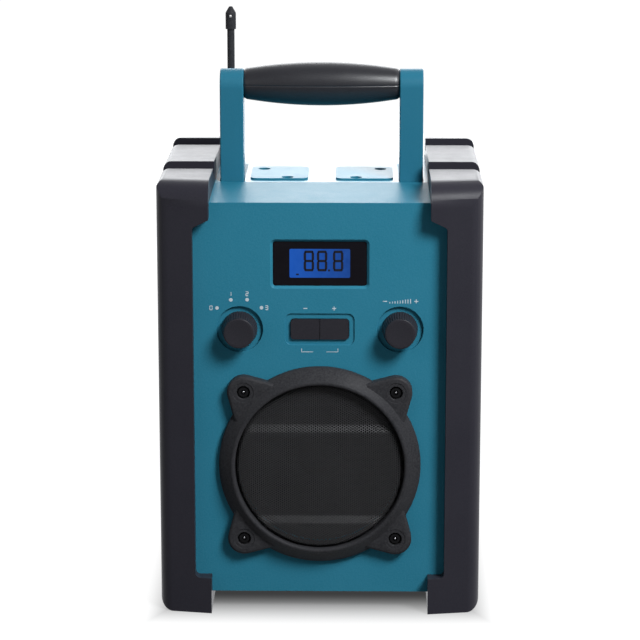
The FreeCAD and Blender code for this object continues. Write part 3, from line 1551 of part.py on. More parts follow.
def sockets():
    """The audio socket, the power socket, the main board and the rubber flap."""
    items = []
    for label, x, bore in (("aux_socket", "aux_x", "aux_bore"), ("dc_socket", "dc_x", "dc_bore")):
        x = size(x)
        half = size("socket_half_width")
        back = socket_floor_y - "wall"
        can = block(label + "_can", x - half, x + half, main_board_y + "board_thick", back,
                    socket_z - half, socket_z + half)
        barrel = rod(label + "_barrel", "y", (x, back - 1, socket_z), "socket_barrel",
                     size("wall") + 1)
        depth = size("wall") + SOCKET_DEPTH
        hole = rod(label + "_bore", "y", (x, socket_floor_y - depth, socket_z), bore, depth + 1)
        shell = cut(label if label == "aux_socket" else label + "_shell",
                    fuse(label + "_body", can, barrel), hole)
        if label == "dc_socket":
            pin = rod("dc_pin", "y", (x, socket_floor_y - depth, socket_z), "dc_pin", depth - 1)
            shell = fuse(label, shell, pin)
        shell.Label = label
        items.append(shell)
    plate = block("main_plate", -size("main_board_half_width"), "main_board_half_width", main_board_y,
                  main_board_y + "board_thick", "main_board_low", main_board_high)
    spots = four(main_post_x, main_post_x, main_post_low, main_post_high)
    holes = [rod("main_hole_%d" % number, "y", (x, main_board_y - 1, z),
                 size("board_screw_radius") + "screw_fit", size("board_thick") + 2)
             for number, (x, z) in enumerate(spots)]
    board = cut("main_board", plate, *holes)
    board.Label = "main_board"

    flap = new_body("socket_cover")
    low = socket_z - "flap_half_height"
    high = socket_z + "flap_half_height"
    left = flap_middle - "flap_half_width"
    right = flap_middle + "flap_half_width"
    front = back_y - "flap_thick"
    outline = square_foot(rectangle(left, right, low, high, size("flap_round") - "flap_fit"))
    pad(flap, "flap_plate", "XZ_Plane", [outline], front, back_y)
    half_thick = size("flap_thick") / 2
    trim = [
        (front - 1, low - 1),
        (back_y + 1, low - 1),
        (back_y + 1, low + half_thick),
        (back_y, low + half_thick),
        (back_y, low, half_thick * ROUND_SHARE),
        (front, low, half_thick * ROUND_SHARE),
        (front, low + half_thick),
        (front - 1, low + half_thick),
    ]
    pocket(flap, "flap_knuckle", "YZ_Plane", [trim], left - 1, right + 1)
    return items + [board, flap]


SOCKET_DEPTH = 6


def build():
    """Every sub-part of the radio, in the order in which it would be laid out."""
    nodes = [front_cover(), rear_housing(), seal_ring(), guard("guard_left", -1), guard("guard_right", 1)]
    nodes += [case_screws(), guard_screws(), handle_frame(), handle_grip()]
    nodes += handle_hardware()
    nodes += antenna()
    nodes += [speaker_ring(), ring_screws(), speaker_grille()]
    nodes += driver()
    nodes += display()
    nodes += [board_screws(), button_switches()]
    nodes += rotary("selector_switch", "selector_shaft", -1)
    nodes += rotary("volume_control", "volume_shaft", 1)
    nodes += [knob("selector_knob", -1), knob("volume_knob", 1)]
    nodes += [button("button_down", -1), button("button_up", 1)]
    nodes += battery_parts()
    nodes += sockets()
    return nodes


def check(nodes):
    """Stop if any object failed or any sub-part has no sound shape."""
    failed = [item.Name for item in doc.Objects if {"Invalid", "Error"} & set(item.State)]
    if failed:
        raise RuntimeError("these failed: " + ", ".join(failed))
    for node in nodes:
        if node.Shape.isNull() or not node.Shape.isValid():
            raise RuntimeError("%s has no sound shape" % node.Label)


nodes = build()
doc.recompute()
check(nodes)
for node in nodes:
    node.Shape.exportStep("parts/%s.step" % node.Label)
print("%d nodes written" % len(nodes))
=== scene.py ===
import json
import math

import bmesh
import bpy
from mathutils import Matrix, Vector


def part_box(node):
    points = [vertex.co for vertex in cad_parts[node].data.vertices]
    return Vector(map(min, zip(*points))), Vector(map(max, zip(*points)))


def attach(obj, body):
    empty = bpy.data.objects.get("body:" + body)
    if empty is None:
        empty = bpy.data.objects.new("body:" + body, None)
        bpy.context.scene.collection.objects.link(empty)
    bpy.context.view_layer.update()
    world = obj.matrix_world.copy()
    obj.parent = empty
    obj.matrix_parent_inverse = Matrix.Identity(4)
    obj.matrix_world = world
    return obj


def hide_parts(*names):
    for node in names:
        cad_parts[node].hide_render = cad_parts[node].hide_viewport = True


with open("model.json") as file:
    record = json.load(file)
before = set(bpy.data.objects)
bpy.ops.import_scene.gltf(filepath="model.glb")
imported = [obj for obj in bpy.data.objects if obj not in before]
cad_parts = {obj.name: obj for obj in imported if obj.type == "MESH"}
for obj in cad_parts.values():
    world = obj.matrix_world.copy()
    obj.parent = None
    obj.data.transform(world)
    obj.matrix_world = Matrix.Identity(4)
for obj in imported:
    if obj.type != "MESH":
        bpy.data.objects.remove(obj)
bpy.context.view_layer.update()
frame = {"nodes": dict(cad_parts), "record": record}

MM = 0.001


# Helpers

def linear(red, green, blue):
    """A colour given in 0 to 255 display values, as a shader colour."""
    def one(value):
        value = value / 255
        return value / 12.92 if value <= 0.04045 else ((value + 0.055) / 1.055) ** 2.4
    return (one(red), one(green), one(blue), 1.0)


def mixed(colour, other, share):
    """A colour moved part of the way towards another."""
    return tuple(a + (b - a) * share for a, b in zip(colour, other))


def grey(level):
    """A grey as a shader colour."""
    return (level, level, level, 1.0)


WHITE = grey(1.0)
BLACK = grey(0.0)


class Shader:
    """A node material under construction."""

    def __init__(self, name):
        self.material = bpy.data.materials.new(name)
        self.material.use_nodes = True
        self.tree = self.material.node_tree
        self.tree.nodes.clear()
        self.output = self.add("ShaderNodeOutputMaterial")
        self.spot = self.add("ShaderNodeTexCoord").outputs["Object"]

    def add(self, kind, **settings):
        node = self.tree.nodes.new(kind)
        for key, value in settings.items():
            setattr(node, key, value)
        return node

    def link(self, start, end):
        self.tree.links.new(start, end)

    def noise(self, size, detail=3.0, rough=0.55, stretch=(1, 1, 1)):
        """Noise whose lumps are about the given size in metres."""
        mapping = self.add("ShaderNodeMapping")
        mapping.inputs["Scale"].default_value = [part / size for part in stretch]
        self.link(self.spot, mapping.inputs["Vector"])
        node = self.add("ShaderNodeTexNoise")
        node.inputs["Scale"].default_value = 1.0
        node.inputs["Detail"].default_value = detail
        node.inputs["Roughness"].default_value = rough
        self.link(mapping.outputs["Vector"], node.inputs["Vector"])
        return node.outputs["Fac"]

    def cells(self, size):
        """Round specks of about the given size in metres."""
        node = self.add("ShaderNodeTexVoronoi")
        node.inputs["Scale"].default_value = 1 / size
        self.link(self.spot, node.inputs["Vector"])
        return node.outputs["Distance"]

    def ramp(self, source, low, high, first, last):
        """A value or colour that runs between two ends as the source does."""
        node = self.add("ShaderNodeValToRGB")
        node.color_ramp.elements[0].position = low
        node.color_ramp.elements[1].position = high
        node.color_ramp.elements[0].color = first
        node.color_ramp.elements[1].color = last
        self.link(source, node.inputs["Fac"])
        return node.outputs["Color"]

    def span(self, source, low, high):
        """The source, from 0 to 1, spread between two numbers."""
        node = self.add("ShaderNodeMapRange")
        node.inputs["To Min"].default_value = low
        node.inputs["To Max"].default_value = high
        self.link(source, node.inputs["Value"])
        return node.outputs["Result"]

    def blend(self, share, first, second):
        """A mix of two colours, each a socket or a constant."""
        node = self.add("ShaderNodeMix", data_type="RGBA")
        self.link(share, node.inputs["Factor"])
        colour_inputs = [item for item in node.inputs if item.type == "RGBA"]
        for socket, item in zip(colour_inputs, (first, second)):
            if isinstance(item, tuple):
                socket.default_value = item
            else:
                self.link(item, socket)
        return next(item for item in node.outputs if item.type == "RGBA")

    def bump(self, height, strength, distance, below=None):
        """A bump on top of another one."""
        node = self.add("ShaderNodeBump")
        node.inputs["Strength"].default_value = strength
        node.inputs["Distance"].default_value = distance
        self.link(height, node.inputs["Height"])
        if below is not None:
            self.link(below, node.inputs["Normal"])
        return node.outputs["Normal"]

    def surface(self, colour, rough, normal=None, **constants):
        """The principled shader with sockets or constants."""
        node = self.add("ShaderNodeBsdfPrincipled")
        for key, item in (("Base Color", colour), ("Roughness", rough)):
            if isinstance(item, (tuple, float, int)):
                node.inputs[key].default_value = item
            else:
                self.link(item, node.inputs[key])
        if normal is not None:
            self.link(normal, node.inputs["Normal"])
        for key, value in constants.items():
            node.inputs[key.replace("_", " ")].default_value = value
        self.link(node.outputs["BSDF"], self.output.inputs["Surface"])
        return node


def moulded(name, colour, rough, speck, depth, tone=0.12, specular=0.5, dull_above=None):
    """Moulded plastic or rubber: a fine pitted texture, faint flow patches and scuffs.

    speck is the width of the texture's grains and depth their height, in millimetres. tone is how
    far the colour varies. Above the height dull_above the gloss is lower.
    """
    shader = Shader(name)
    patch = 30 * MM
    fine = shader.noise(speck * MM, 4.0, 0.65)
    pits = shader.cells(speck * MM * 2.2)
    broad = shader.noise(patch, 2.0, 0.5)
    scuff = shader.noise(patch * 0.4, 6.0, 0.75, (1, 1, 0.35))
    dark = mixed(colour, BLACK, tone)
    light = mixed(colour, WHITE, tone * 0.28)
    haze = mixed(colour, WHITE, tone * 0.2)
    base = shader.blend(shader.span(fine, 0.0, 1.0), dark, light)
    base = shader.blend(shader.ramp(broad, 0.35, 0.75, BLACK, grey(0.35)), base, haze)
    roughness = shader.span(scuff, rough - 0.07, rough + 0.09)
    normal = shader.bump(fine, 0.55, depth * MM)
    normal = shader.bump(pits, 0.35, depth * MM, normal)
    node = shader.surface(base, roughness, normal, Specular_IOR_Level=specular)
    if dull_above is not None:
        dull_raised(shader, node, roughness, specular, dull_above)
    return shader.material


def dull_raised(shader, node, roughness, specular, height):
    """Less gloss on what stands above a height."""
    split = shader.add("ShaderNodeSeparateXYZ")
    shader.link(shader.spot, split.inputs["Vector"])
    above = shader.add("ShaderNodeMath", operation="GREATER_THAN")
    above.inputs[1].default_value = height
    shader.link(split.outputs["Z"], above.inputs[0])
    shader.link(shader.span(above.outputs["Value"], specular, specular * 0.4),
                node.inputs["Specular IOR Level"])
    rougher = shader.add("ShaderNodeMath", operation="MULTIPLY_ADD")
    rougher.inputs[1].default_value = 0.12
    shader.link(above.outputs["Value"], rougher.inputs[0])
    shader.link(roughness, rougher.inputs[2])
    shader.link(rougher.outputs["Value"], node.inputs["Roughness"])


def metal(name, colour, rough):
    """Metal with a fine drawn grain and uneven polish."""
    shader = Shader(name)
    grain = shader.noise(0.4 * MM, 3.0, 0.6, (1, 1, 6))
    broad = shader.noise(6 * MM, 3.0, 0.6)
    dark = mixed(colour, BLACK, 0.18)
    light = mixed(colour, WHITE, 0.05)
    base = shader.blend(shader.span(broad, 0.0, 1.0), dark, light)
    roughness = shader.span(grain, rough - 0.06, rough + 0.1)
    normal = shader.bump(grain, 0.25, 0.03 * MM)
    shader.surface(base, roughness, normal, Metallic=1.0)
    return shader.material


BLUE = linear(20, 131, 160)

pad_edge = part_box("rear_housing")[1][2] - 0.5 * MM

panel_blue = moulded("panel_blue", BLUE, rough=0.4, speck=1.0, depth=0.11, tone=0.18, specular=0.14)
rear_blue = moulded("rear_blue", BLUE, rough=0.2, speck=0.9, depth=0.02, specular=0.3,
                    dull_above=pad_edge)
handle_blue = moulded("handle_blue", linear(30, 118, 145), rough=0.4, speck=0.6, depth=0.03, tone=0.1,
                      specular=0.16)
guard_black = moulded("guard_black", linear(35, 33, 45), rough=0.38, speck=0.5, depth=0.02,
                      specular=0.22)
grip_black = moulded("grip_black", linear(18, 18, 28), rough=0.34, speck=0.6, depth=0.01, tone=0.14,
                     specular=0.7)
ring_black = moulded("ring_black", linear(17, 17, 26), rough=0.42, speck=1.1, depth=0.14, tone=0.25,
                     specular=0.07)
knob_black = moulded("knob_black", linear(30, 28, 38), rough=0.38, speck=0.6, depth=0.03, tone=0.14,
                     specular=0.16)
grille_black = moulded("grille_black", linear(12, 12, 18), rough=0.44, speck=0.4, depth=0.02, tone=0.2,
                       specular=0.8)
screw_black = metal("screw_black", linear(52, 52, 56), rough=0.38)
bright_steel = metal("bright_steel", linear(190, 190, 194), rough=0.3)
inside_black = moulded("inside_black", linear(26, 26, 28), rough=0.7, speck=1.0, depth=0.05, tone=0.25)
board_green = moulded("board_green", linear(24, 78, 52), rough=0.35, speck=1.2, depth=0.02, tone=0.2)
control_grey = moulded("control_grey", linear(96, 98, 104), rough=0.5, speck=0.8, depth=0.02, tone=0.15)
cell_wrap = moulded("cell_wrap", linear(150, 150, 146), rough=0.3, speck=2.0, depth=0.01, tone=0.1)
ferrite = moulded("ferrite", linear(58, 58, 60), rough=0.6, speck=1.0, depth=0.08, tone=0.2)
paper_black = moulded("paper_black", linear(34, 33, 35), rough=0.8, speck=0.8, depth=0.1, tone=0.25)
mark_white = moulded("mark_white", linear(214, 226, 232), rough=0.5, speck=0.4, depth=0.01, tone=0.1)
display_ink = moulded("display_ink", linear(10, 13, 34), rough=0.5, speck=0.4, depth=0.01, tone=0.1,
                      specular=0.1)


def window_material():
    """Polished black window with faint smears."""
    shader = Shader("window_black")
    smear = shader.noise(12 * MM, 4.0, 0.6, (1, 1, 2.5))
    base = shader.blend(shader.span(smear, 0.0, 1.0), linear(22, 20, 24), linear(28, 26, 31))
    shader.surface(base, shader.span(smear, 0.06, 0.16), Specular_IOR_Level=0.16)
    return shader.material


def lit_material(left, right):
    """The lit display: brighter at its left end, with a faint cell structure."""
    shader = Shader("display_lit")
    split = shader.add("ShaderNodeSeparateXYZ")
    shader.link(shader.spot, split.inputs["Vector"])
    along = shader.add("ShaderNodeMapRange")
    along.inputs["From Min"].default_value = left
    along.inputs["From Max"].default_value = right
    shader.link(split.outputs["X"], along.inputs["Value"])
    cloud = shader.noise(4 * MM, 2.0, 0.5)
    glow = shader.blend(along.outputs["Result"], linear(26, 86, 184), linear(24, 60, 128))
    glow = shader.blend(shader.ramp(cloud, 0.3, 0.8, BLACK, grey(0.25)), glow, linear(48, 104, 196))
    node = shader.surface(mixed(linear(36, 80, 160), BLACK, 0.75), 0.5, Emission_Strength=0.78,
                          Specular_IOR_Level=0.1)
    shader.link(glow, node.inputs["Emission Color"])
    return shader.material


window_black = window_material()

SLOT_MATERIALS = {
    "blue_plastic": panel_blue,
    "blue_handle": handle_blue,
    "guard_rubber": guard_black,
    "grip_rubber": grip_black,
    "black_plastic": ring_black,
    "knob_plastic": knob_black,
    "grille_metal": grille_black,
    "screw_steel": screw_black,
    "bright_steel": bright_steel,
    "window_black": window_black,
    "display_blue": inside_black,
    "board_green": board_green,
    "control_grey": control_grey,
    "paper_cone": paper_black,
    "foam_black": inside_black,
    "ferrite": ferrite,
    "cell_wrap": cell_wrap,
}

NODE_SLOT = {item["node"]: item["material_slot"] for item in frame["record"]["subparts"]}
BODIES = frame["record"]["behaviour"]["bodies"]
NODE_BODY = {node: body for body, names in BODIES.items() for node in names}

for name, item in frame["nodes"].items():
    item.data.materials.clear()
    item.data.materials.append(SLOT_MATERIALS[NODE_SLOT[name]])


def finish_mesh(mesh, sharp=35):
    """Smooth shading, with the edges above an angle left sharp."""
    mesh.shade_smooth()
    mesh.set_sharp_from_angle(angle=math.radians(sharp))


def add_piece(name, mesh, material, body, slot, *nodes):
    """A new piece on a body, which may stand for CAD nodes."""
    piece = bpy.data.objects.new(name, mesh)
    bpy.context.scene.collection.objects.link(piece)
    mesh.materials.clear()
    mesh.materials.append(material)
    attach(piece, body)
    if nodes:
        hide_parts(*nodes)
    return piece


def apply_modifiers(piece):
    """Turn the modifiers of a piece into its mesh."""
    graph = bpy.context.evaluated_depsgraph_get()
    mesh = bpy.data.meshes.new_from_object(piece.evaluated_get(graph))
    old = piece.data
    piece.modifiers.clear()
    piece.data = mesh
    bpy.data.meshes.remove(old)


SHARP_EDGE = math.radians(28)


def dressed(node, width, segments=3, material=None, widths=None, shape=None):
    """A finer copy of a CAD node with softened edges, shown in its place.

    widths gives the rounding of the edge at a spot, up to width, and shape moves the points first.
    """
    work = bmesh.new()
    work.from_mesh(frame["nodes"][node].data)
    bmesh.ops.remove_doubles(work, verts=work.verts, dist=0.01 * MM)
    bmesh.ops.dissolve_limit(work, angle_limit=math.radians(0.4), verts=work.verts, edges=work.edges,
                             use_dissolve_boundaries=False)
    if shape:
        shape(work)
    weight = work.edges.layers.float.new("bevel_weight_edge")
    for edge in work.edges:
        if edge.calc_face_angle(0) > SHARP_EDGE:
            middle = (edge.verts[0].co + edge.verts[1].co) / 2
            edge[weight] = widths(middle) / width if widths else 1.0
    mesh = bpy.data.meshes.new(node + "_soft")
    work.to_mesh(mesh)
    work.free()
    slot = NODE_SLOT[node]
    piece = add_piece(node + "_soft", mesh, material or SLOT_MATERIALS[slot], NODE_BODY[node], slot, node)
    bevel = piece.modifiers.new("soft_edges", "BEVEL")
    bevel.width = width
    bevel.segments = segments
    bevel.limit_method = "WEIGHT"
    bevel.miter_outer = "MITER_ARC"
    apply_modifiers(piece)
    finish_mesh(piece.data, 50)
    flat = piece.modifiers.new("even_shading", "WEIGHTED_NORMAL")
    flat.keep_sharp = True
    apply_modifiers(piece)


def join_loops(work, loops):
    """Faces between each loop of points and the next."""
    count = len(loops[0])
    for first, second in zip(loops, loops[1:]):
        for step in range(count):
            following = (step + 1) % count
            work.faces.new((first[step], second[step], second[following], first[following]))


def cap_ends(work, loops):
    """Faces over the first and the last loop."""
    work.faces.new(loops[-1])
    work.faces.new(list(reversed(loops[0])))


def lathe(rows, count, wave=None):
    """Loops turned round the Y axis. rows are (radius, y) pairs; wave alters a radius by angle."""
    work = bmesh.new()
    loops = []
    for number, (radius, depth) in enumerate(rows):
        loop = []
        for step in range(count):
            angle = 2 * math.pi * step / count
            reach = wave(number, radius, angle) if wave else radius
            loop.append(work.verts.new((reach * math.cos(angle), depth, reach * math.sin(angle))))
        loops.append(loop)
    join_loops(work, loops)
    return work, loops


def to_mesh(work, name, move=(0, 0, 0)):
    """The mesh of a finished bmesh, moved into the frame."""
    bmesh.ops.recalc_face_normals(work, faces=work.faces)
    bmesh.ops.translate(work, verts=work.verts, vec=Vector(move))
    mesh = bpy.data.meshes.new(name)
    work.to_mesh(mesh)
    work.free()
    return mesh


# Casing, guards and handle from the CAD solids

panel_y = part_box("front_cover")[0][1]
knob_low, knob_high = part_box("volume_knob")
knob_x = (knob_low[0] + knob_high[0]) / 2
knob_z = (knob_low[2] + knob_high[2]) / 2
buttons_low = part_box("button_down")[0]
buttons_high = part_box("button_up")[1]
guard_low, guard_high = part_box("guard_left")


def cover_rounding(spot):
    """The wells on the panel roll over more at their rims and less at their floors."""
    rim = abs(spot.y - panel_y) < 0.1 * MM
    if math.hypot(abs(spot.x) - knob_x, spot.z - knob_z) < 17 * MM:
        return 1.5 * MM if rim else 0.4 * MM
    near = 5 * MM
    across = buttons_low[0] - near < spot.x < buttons_high[0] + near
    if across and buttons_low[2] - near < spot.z < buttons_high[2] + near:
        return 0.65 * MM if rim else 0.3 * MM
    return 0.6 * MM


GROOVES = (59 * MM, 148 * MM)
GROOVE_WIDTH = 12 * MM


def lean_tops(work):
    """The top of a guard leans between its grooves, so that the wall behind each stands taller."""
    corner = 5.5 * MM
    fall = 1.2 * MM
    lift = 1.3 * MM
    for point in work.verts:
        share = min(max((point.co.z - guard_high[2] + corner) / corner, 0.0), 1.0)
        along = point.co.y - guard_low[1]
        for groove in GROOVES:
            if abs(along - groove) < 0.1 * MM:
                point.co.z -= fall * share
            if abs(along - groove - GROOVE_WIDTH) < 0.1 * MM:
                point.co.z += lift * share


dressed("front_cover", 1.5 * MM, widths=cover_rounding)
dressed("rear_housing", 0.5 * MM, material=rear_blue)
dressed("guard_left", 1.0 * MM, shape=lean_tops)
dressed("guard_right", 1.0 * MM, shape=lean_tops)
dressed("handle_frame", 1.6 * MM, segments=4)
dressed("battery_door", 0.5 * MM)
dressed("socket_cover", 0.4 * MM)
dressed("button_down", 0.4 * MM)
dressed("button_up", 0.4 * MM)


# The speaker ring

ring_low, ring_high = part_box("speaker_ring")
ring_front = ring_low[1]
ring_back = ring_high[1]
ring_z = (ring_low[2] + ring_high[2]) / 2
screw_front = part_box("ring_screws")[0][1]
EAR_PLACE = 65 * MM


def ear_turn(number):
    """The angle of an ear and its screw about the ring."""
    return math.radians(45 + 90 * number)


def ring():
    """A cone with a beaded lip and a moulded texture."""
    outer = 61.2 * MM
    inner = 51.25 * MM
    seat = 53.2 * MM
    seat_depth = 1.3 * MM
    lip = ((54.7, 1.25), (54.3, 1.0), (53.9, 0.5), (53.3, 0.1), (52.6, 0.0), (51.9, 0.15), (51.45, 0.6))
    rows = [(seat, ring_back - seat_depth), (seat, ring_back), (outer - 0.3 * MM, ring_back),
            (outer, ring_back - 0.3 * MM), (outer, ring_back - 2.7 * MM),
            (outer - 0.35 * MM, ring_back - 3.4 * MM), (outer - 1.1 * MM, ring_back - 4.1 * MM)]
    rows += [(radius * MM, ring_front + depth * MM) for radius, depth in lip]
    rows += [(inner, ring_front + 1.3 * MM), (inner, ring_back - seat_depth), (seat, ring_back - seat_depth)]
    work, _ = lathe(rows, 256)
    mesh = to_mesh(work, "ring_cone", (0, 0, ring_z))
    finish_mesh(mesh, 50)
    add_piece("ring_cone", mesh, ring_black, "root", "black_plastic", "speaker_ring")


def ear(number):
    """One flared ear with a bevelled edge, a shallow boss and a well for its screw."""
    radius = 9.9 * MM
    root = 10.0 * MM
    face = ring_back - 6.5 * MM
    bevel = 1.5 * MM
    boss = 6.3 * MM
    boss_floor = face + 0.35 * MM
    well = 4.3 * MM
    well_floor = face + 4.4 * MM
    lean = math.radians(60)
    steps = 120

    def reach(angle, inset):
        angle = abs((angle + math.pi) % (2 * math.pi) - math.pi)
        size = radius - inset
        edge = size if angle <= lean else size / max(math.cos(angle - lean), 0.05)
        if math.cos(angle) < 0:
            edge = min(edge, root / -math.cos(angle))
        return edge

    rim = [(0.0, ring_back), (0.0, face + bevel * 0.8), (0.3 * MM, face + bevel * 0.5),
           (bevel * 0.85, face + 0.06 * MM), (bevel, face)]
    hole = [(boss, face), (boss - 0.2 * MM, boss_floor), (well, boss_floor),
            (well - 0.3 * MM, boss_floor + 0.25 * MM), (well - 0.4 * MM, well_floor), (0.8 * MM, well_floor)]
    work = bmesh.new()
    loops = []
    for number_in_rim, (value, depth) in enumerate(rim + hole):
        loop = []
        for step in range(steps):
            angle = 2 * math.pi * step / steps
            size = reach(angle, value) if number_in_rim < len(rim) else value
            loop.append(work.verts.new((EAR_PLACE + size * math.cos(angle), depth, size * math.sin(angle))))
        loops.append(loop)
    join_loops(work, loops)
    cap_ends(work, loops)
    bmesh.ops.rotate(work, verts=work.verts, cent=(0, 0, 0),
                     matrix=Matrix.Rotation(ear_turn(number), 3, "Y"))
    mesh = to_mesh(work, "ring_ear_%d" % number, (0, 0, ring_z))
    finish_mesh(mesh, 30)
    add_piece("ring_ear_%d" % number, mesh, ring_black, "root", "black_plastic")


def screw_pin(number):
    """The rounded end of the pin in the socket of a ring screw."""
    size = 0.8 * MM
    turns = [math.radians(turn) for turn in (-60, -30, 0, 20, 40, 60, 78)]
    work, loops = lathe([(size * math.cos(turn), screw_front + size * (1 - math.sin(turn)))
                         for turn in turns], 20)
    cap_ends(work, loops)
    angle = ear_turn(number)
    spot = (EAR_PLACE * math.cos(angle), 0, ring_z + EAR_PLACE * math.sin(angle))
    mesh = to_mesh(work, "screw_pin_%d" % number, spot)
    finish_mesh(mesh)
    add_piece("screw_pin_%d" % number, mesh, bright_steel, "root", "bright_steel")


ring()
for corner in range(4):
    ear(corner)
for corner in range(4):
    screw_pin(corner)


# The speaker grille with its real holes

grille_low, grille_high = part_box("speaker_grille")
flange_y = grille_high[1]


def grille_sheet():
    """A formed sheet that steps forward twice, in a fine hexagonal net, with its rim rolled back."""
    rim_y = flange_y - 2.2 * MM
    top_y = grille_low[1] + 0.8 * MM
    rise = 2.0 * MM
    slope_half = 2.3 * MM
    slopes = (23.4 * MM, -33.3 * MM)
    reach = 50.9 * MM
    roll = 2.4 * MM
    pitch = 1.45 * MM
    hole = 0.55 * MM
    thickness = 0.6 * MM
    sides = 6
    cell = pitch / math.sqrt(3)

    def depth(across, up):
        place = top_y
        for middle in slopes:
            share = min(max((middle + slope_half - up) / (2 * slope_half), 0.0), 1.0)
            place -= rise * share
        edge = max(0.0, (math.hypot(across, up) - reach + roll) / roll)
        return place + (rim_y - place) * edge ** 2

    work = bmesh.new()
    corners = {}

    def corner(across, up):
        key = (round(across * 1e6), round(up * 1e6))
        if key not in corners:
            corners[key] = work.verts.new((across, depth(across, up), ring_z + up))
        return corners[key]

    turns = [math.radians(60 * number) for number in range(sides)]
    column_gap = pitch * math.sqrt(3) / 2
    columns = int(reach / column_gap) + 1
    rows = int(reach / pitch) + 1
    for column in range(-columns, columns + 1):
        across = column * column_gap
        shift = pitch / 2 if column % 2 else 0.0
        for row in range(-rows, rows + 1):
            up = row * pitch + shift
            if math.hypot(across, up) > reach - cell * 0.6:
                continue
            outer = [corner(across + cell * math.cos(a), up + cell * math.sin(a)) for a in turns]
            inner = []
            for a in turns:
                hole_x = across + hole * math.cos(a)
                hole_z = up + hole * math.sin(a)
                inner.append(work.verts.new((hole_x, depth(hole_x, hole_z), ring_z + hole_z)))
            for number in range(sides):
                following = (number + 1) % sides
                work.faces.new((outer[number], inner[number], inner[following], outer[following]))
    mesh = to_mesh(work, "grille_sheet")
    piece = add_piece("grille_sheet", mesh, grille_black, "root", "grille_metal", "speaker_grille")
    solid = piece.modifiers.new("thickness", "SOLIDIFY")
    solid.thickness = thickness
    solid.offset = 0.0
    apply_modifiers(piece)
    finish_mesh(piece.data, 40)


def grille_rim():
    """The flat flange of the grille and the low wall that its sheet rises from."""
    plate = 48.8 * MM
    wall_inner = 50.2 * MM
    wall_outer = wall_inner + 0.8 * MM
    outer = 52.8 * MM
    back = flange_y - 0.2 * MM
    front = flange_y - 0.9 * MM
    wall_front = flange_y - 2.4 * MM
    rows = [(plate, back), (outer, back), (outer, front), (wall_outer, front),
            (wall_outer - 0.2 * MM, wall_front), (wall_inner, wall_front), (wall_inner, front),
            (plate, front), (plate, back)]
    work, _ = lathe(rows, 160)
    mesh = to_mesh(work, "grille_rim", (0, 0, ring_z))
    finish_mesh(mesh)
    add_piece("grille_rim", mesh, grille_black, "root", "grille_metal")


grille_sheet()
grille_rim()


# Knobs

def knob(node, body):
    """A conical knob whose side is cut into fine teeth, and the middle of its axis."""
    low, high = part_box(node)
    middle_x = (low[0] + high[0]) / 2
    middle_z = (low[2] + high[2]) / 2
    front = low[1]
    back = high[1]
    base = 10.9 * MM
    base_edge = 0.5 * MM
    tip = 9.3 * MM
    teeth = 40
    round_off = 0.9 * MM
    notch = 0.45 * MM
    dish = 6.2 * MM
    dish_depth = 0.12 * MM
    start = back - base_edge
    end = front + round_off
    rows = [(base - 0.3 * MM, back), (base, start)]
    steps = 8
    for number in range(1, steps + 1):
        share = number / steps
        rows.append((base + (tip - base) * share, start + (end - start) * share))
    toothed = len(rows)
    for number in range(1, 5):
        angle = math.radians(90 * number / 4)
        rows.append((tip - round_off * (1 - math.cos(angle)), front + round_off * (1 - math.sin(angle))))
    rows += [(dish + 0.8 * MM, front), (dish, front + dish_depth), (0.6 * MM, front + dish_depth)]

    def wave(number, radius, angle):
        if number == 0 or number > toothed:
            return radius
        return radius - notch * (0.5 - 0.5 * math.cos(angle * teeth)) ** 2

    work, loops = lathe(rows, teeth * 8, wave)
    cap_ends(work, loops)
    mesh = to_mesh(work, node + "_body", (middle_x, 0, middle_z))
    finish_mesh(mesh, 40)
    add_piece(node + "_body", mesh, knob_black, body, "knob_plastic", node)
    return middle_x, middle_z


left_x, left_z = knob("selector_knob", "selector")
right_x, right_z = knob("volume_knob", "volume")


# The grip

def grip():
    """A barrel of rubber with a parting line round its middle."""
    low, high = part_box("handle_grip")
    middle_y = (low[1] + high[1]) / 2
    middle_z = (low[2] + high[2]) / 2
    half = high[0]
    full = (high[2] - low[2]) / 2
    end = 9.4 * MM
    end_share = 0.025
    end_round = 0.8 * MM
    seam_width = 0.3 * MM
    seam_depth = 0.25 * MM
    steps = 64
    sides = 240
    work = bmesh.new()
    loops = []
    for step in range(steps + 1):
        share = -1 + 2 * step / steps
        radius = end + (full - end) * (1 - share * share)
        edge = max(0.0, (abs(share) - 1 + end_share) / end_share)
        radius -= end_round * edge ** 2
        loop = []
        for number in range(sides):
            angle = 2 * math.pi * number / sides
            seam = math.exp(-(math.sin(angle) * radius / seam_width) ** 2) * seam_depth
            reach = radius - seam
            loop.append(work.verts.new((half * share, middle_y + reach * math.cos(angle),
                                        middle_z + reach * math.sin(angle))))
        loops.append(loop)
    join_loops(work, loops)
    cap_ends(work, loops)
    mesh = to_mesh(work, "grip_barrel")
    finish_mesh(mesh, 40)
    add_piece("grip_barrel", mesh, grip_black, "handle", "grip_rubber", "handle_grip")


grip()


# Printed marks on the panel

def flat_mark(name, outlines, depth, material, slot, thick):
    """Thin printed shapes that face the front, from outlines in X and Z."""
    sunk = 0.02 * MM
    work = bmesh.new()
    for outline in outlines:
        front = [work.verts.new((x, depth - thick, z)) for x, z in outline]
        back = [work.verts.new((x, depth + sunk, z)) for x, z in outline]
        join_loops(work, [front, back])
        work.faces.new(front)
        work.faces.new(list(reversed(back)))
    mesh = to_mesh(work, name)
    add_piece(name, mesh, material, "root", slot)


def disc(x, z, radius, count=20):
    """A round outline."""
    return [(x + radius * math.cos(2 * math.pi * number / count),
             z + radius * math.sin(2 * math.pi * number / count)) for number in range(count)]


def bar(x0, z0, x1, z1):
    """A rectangular outline."""
    return [(x0, z0), (x1, z0), (x1, z1), (x0, z1)]


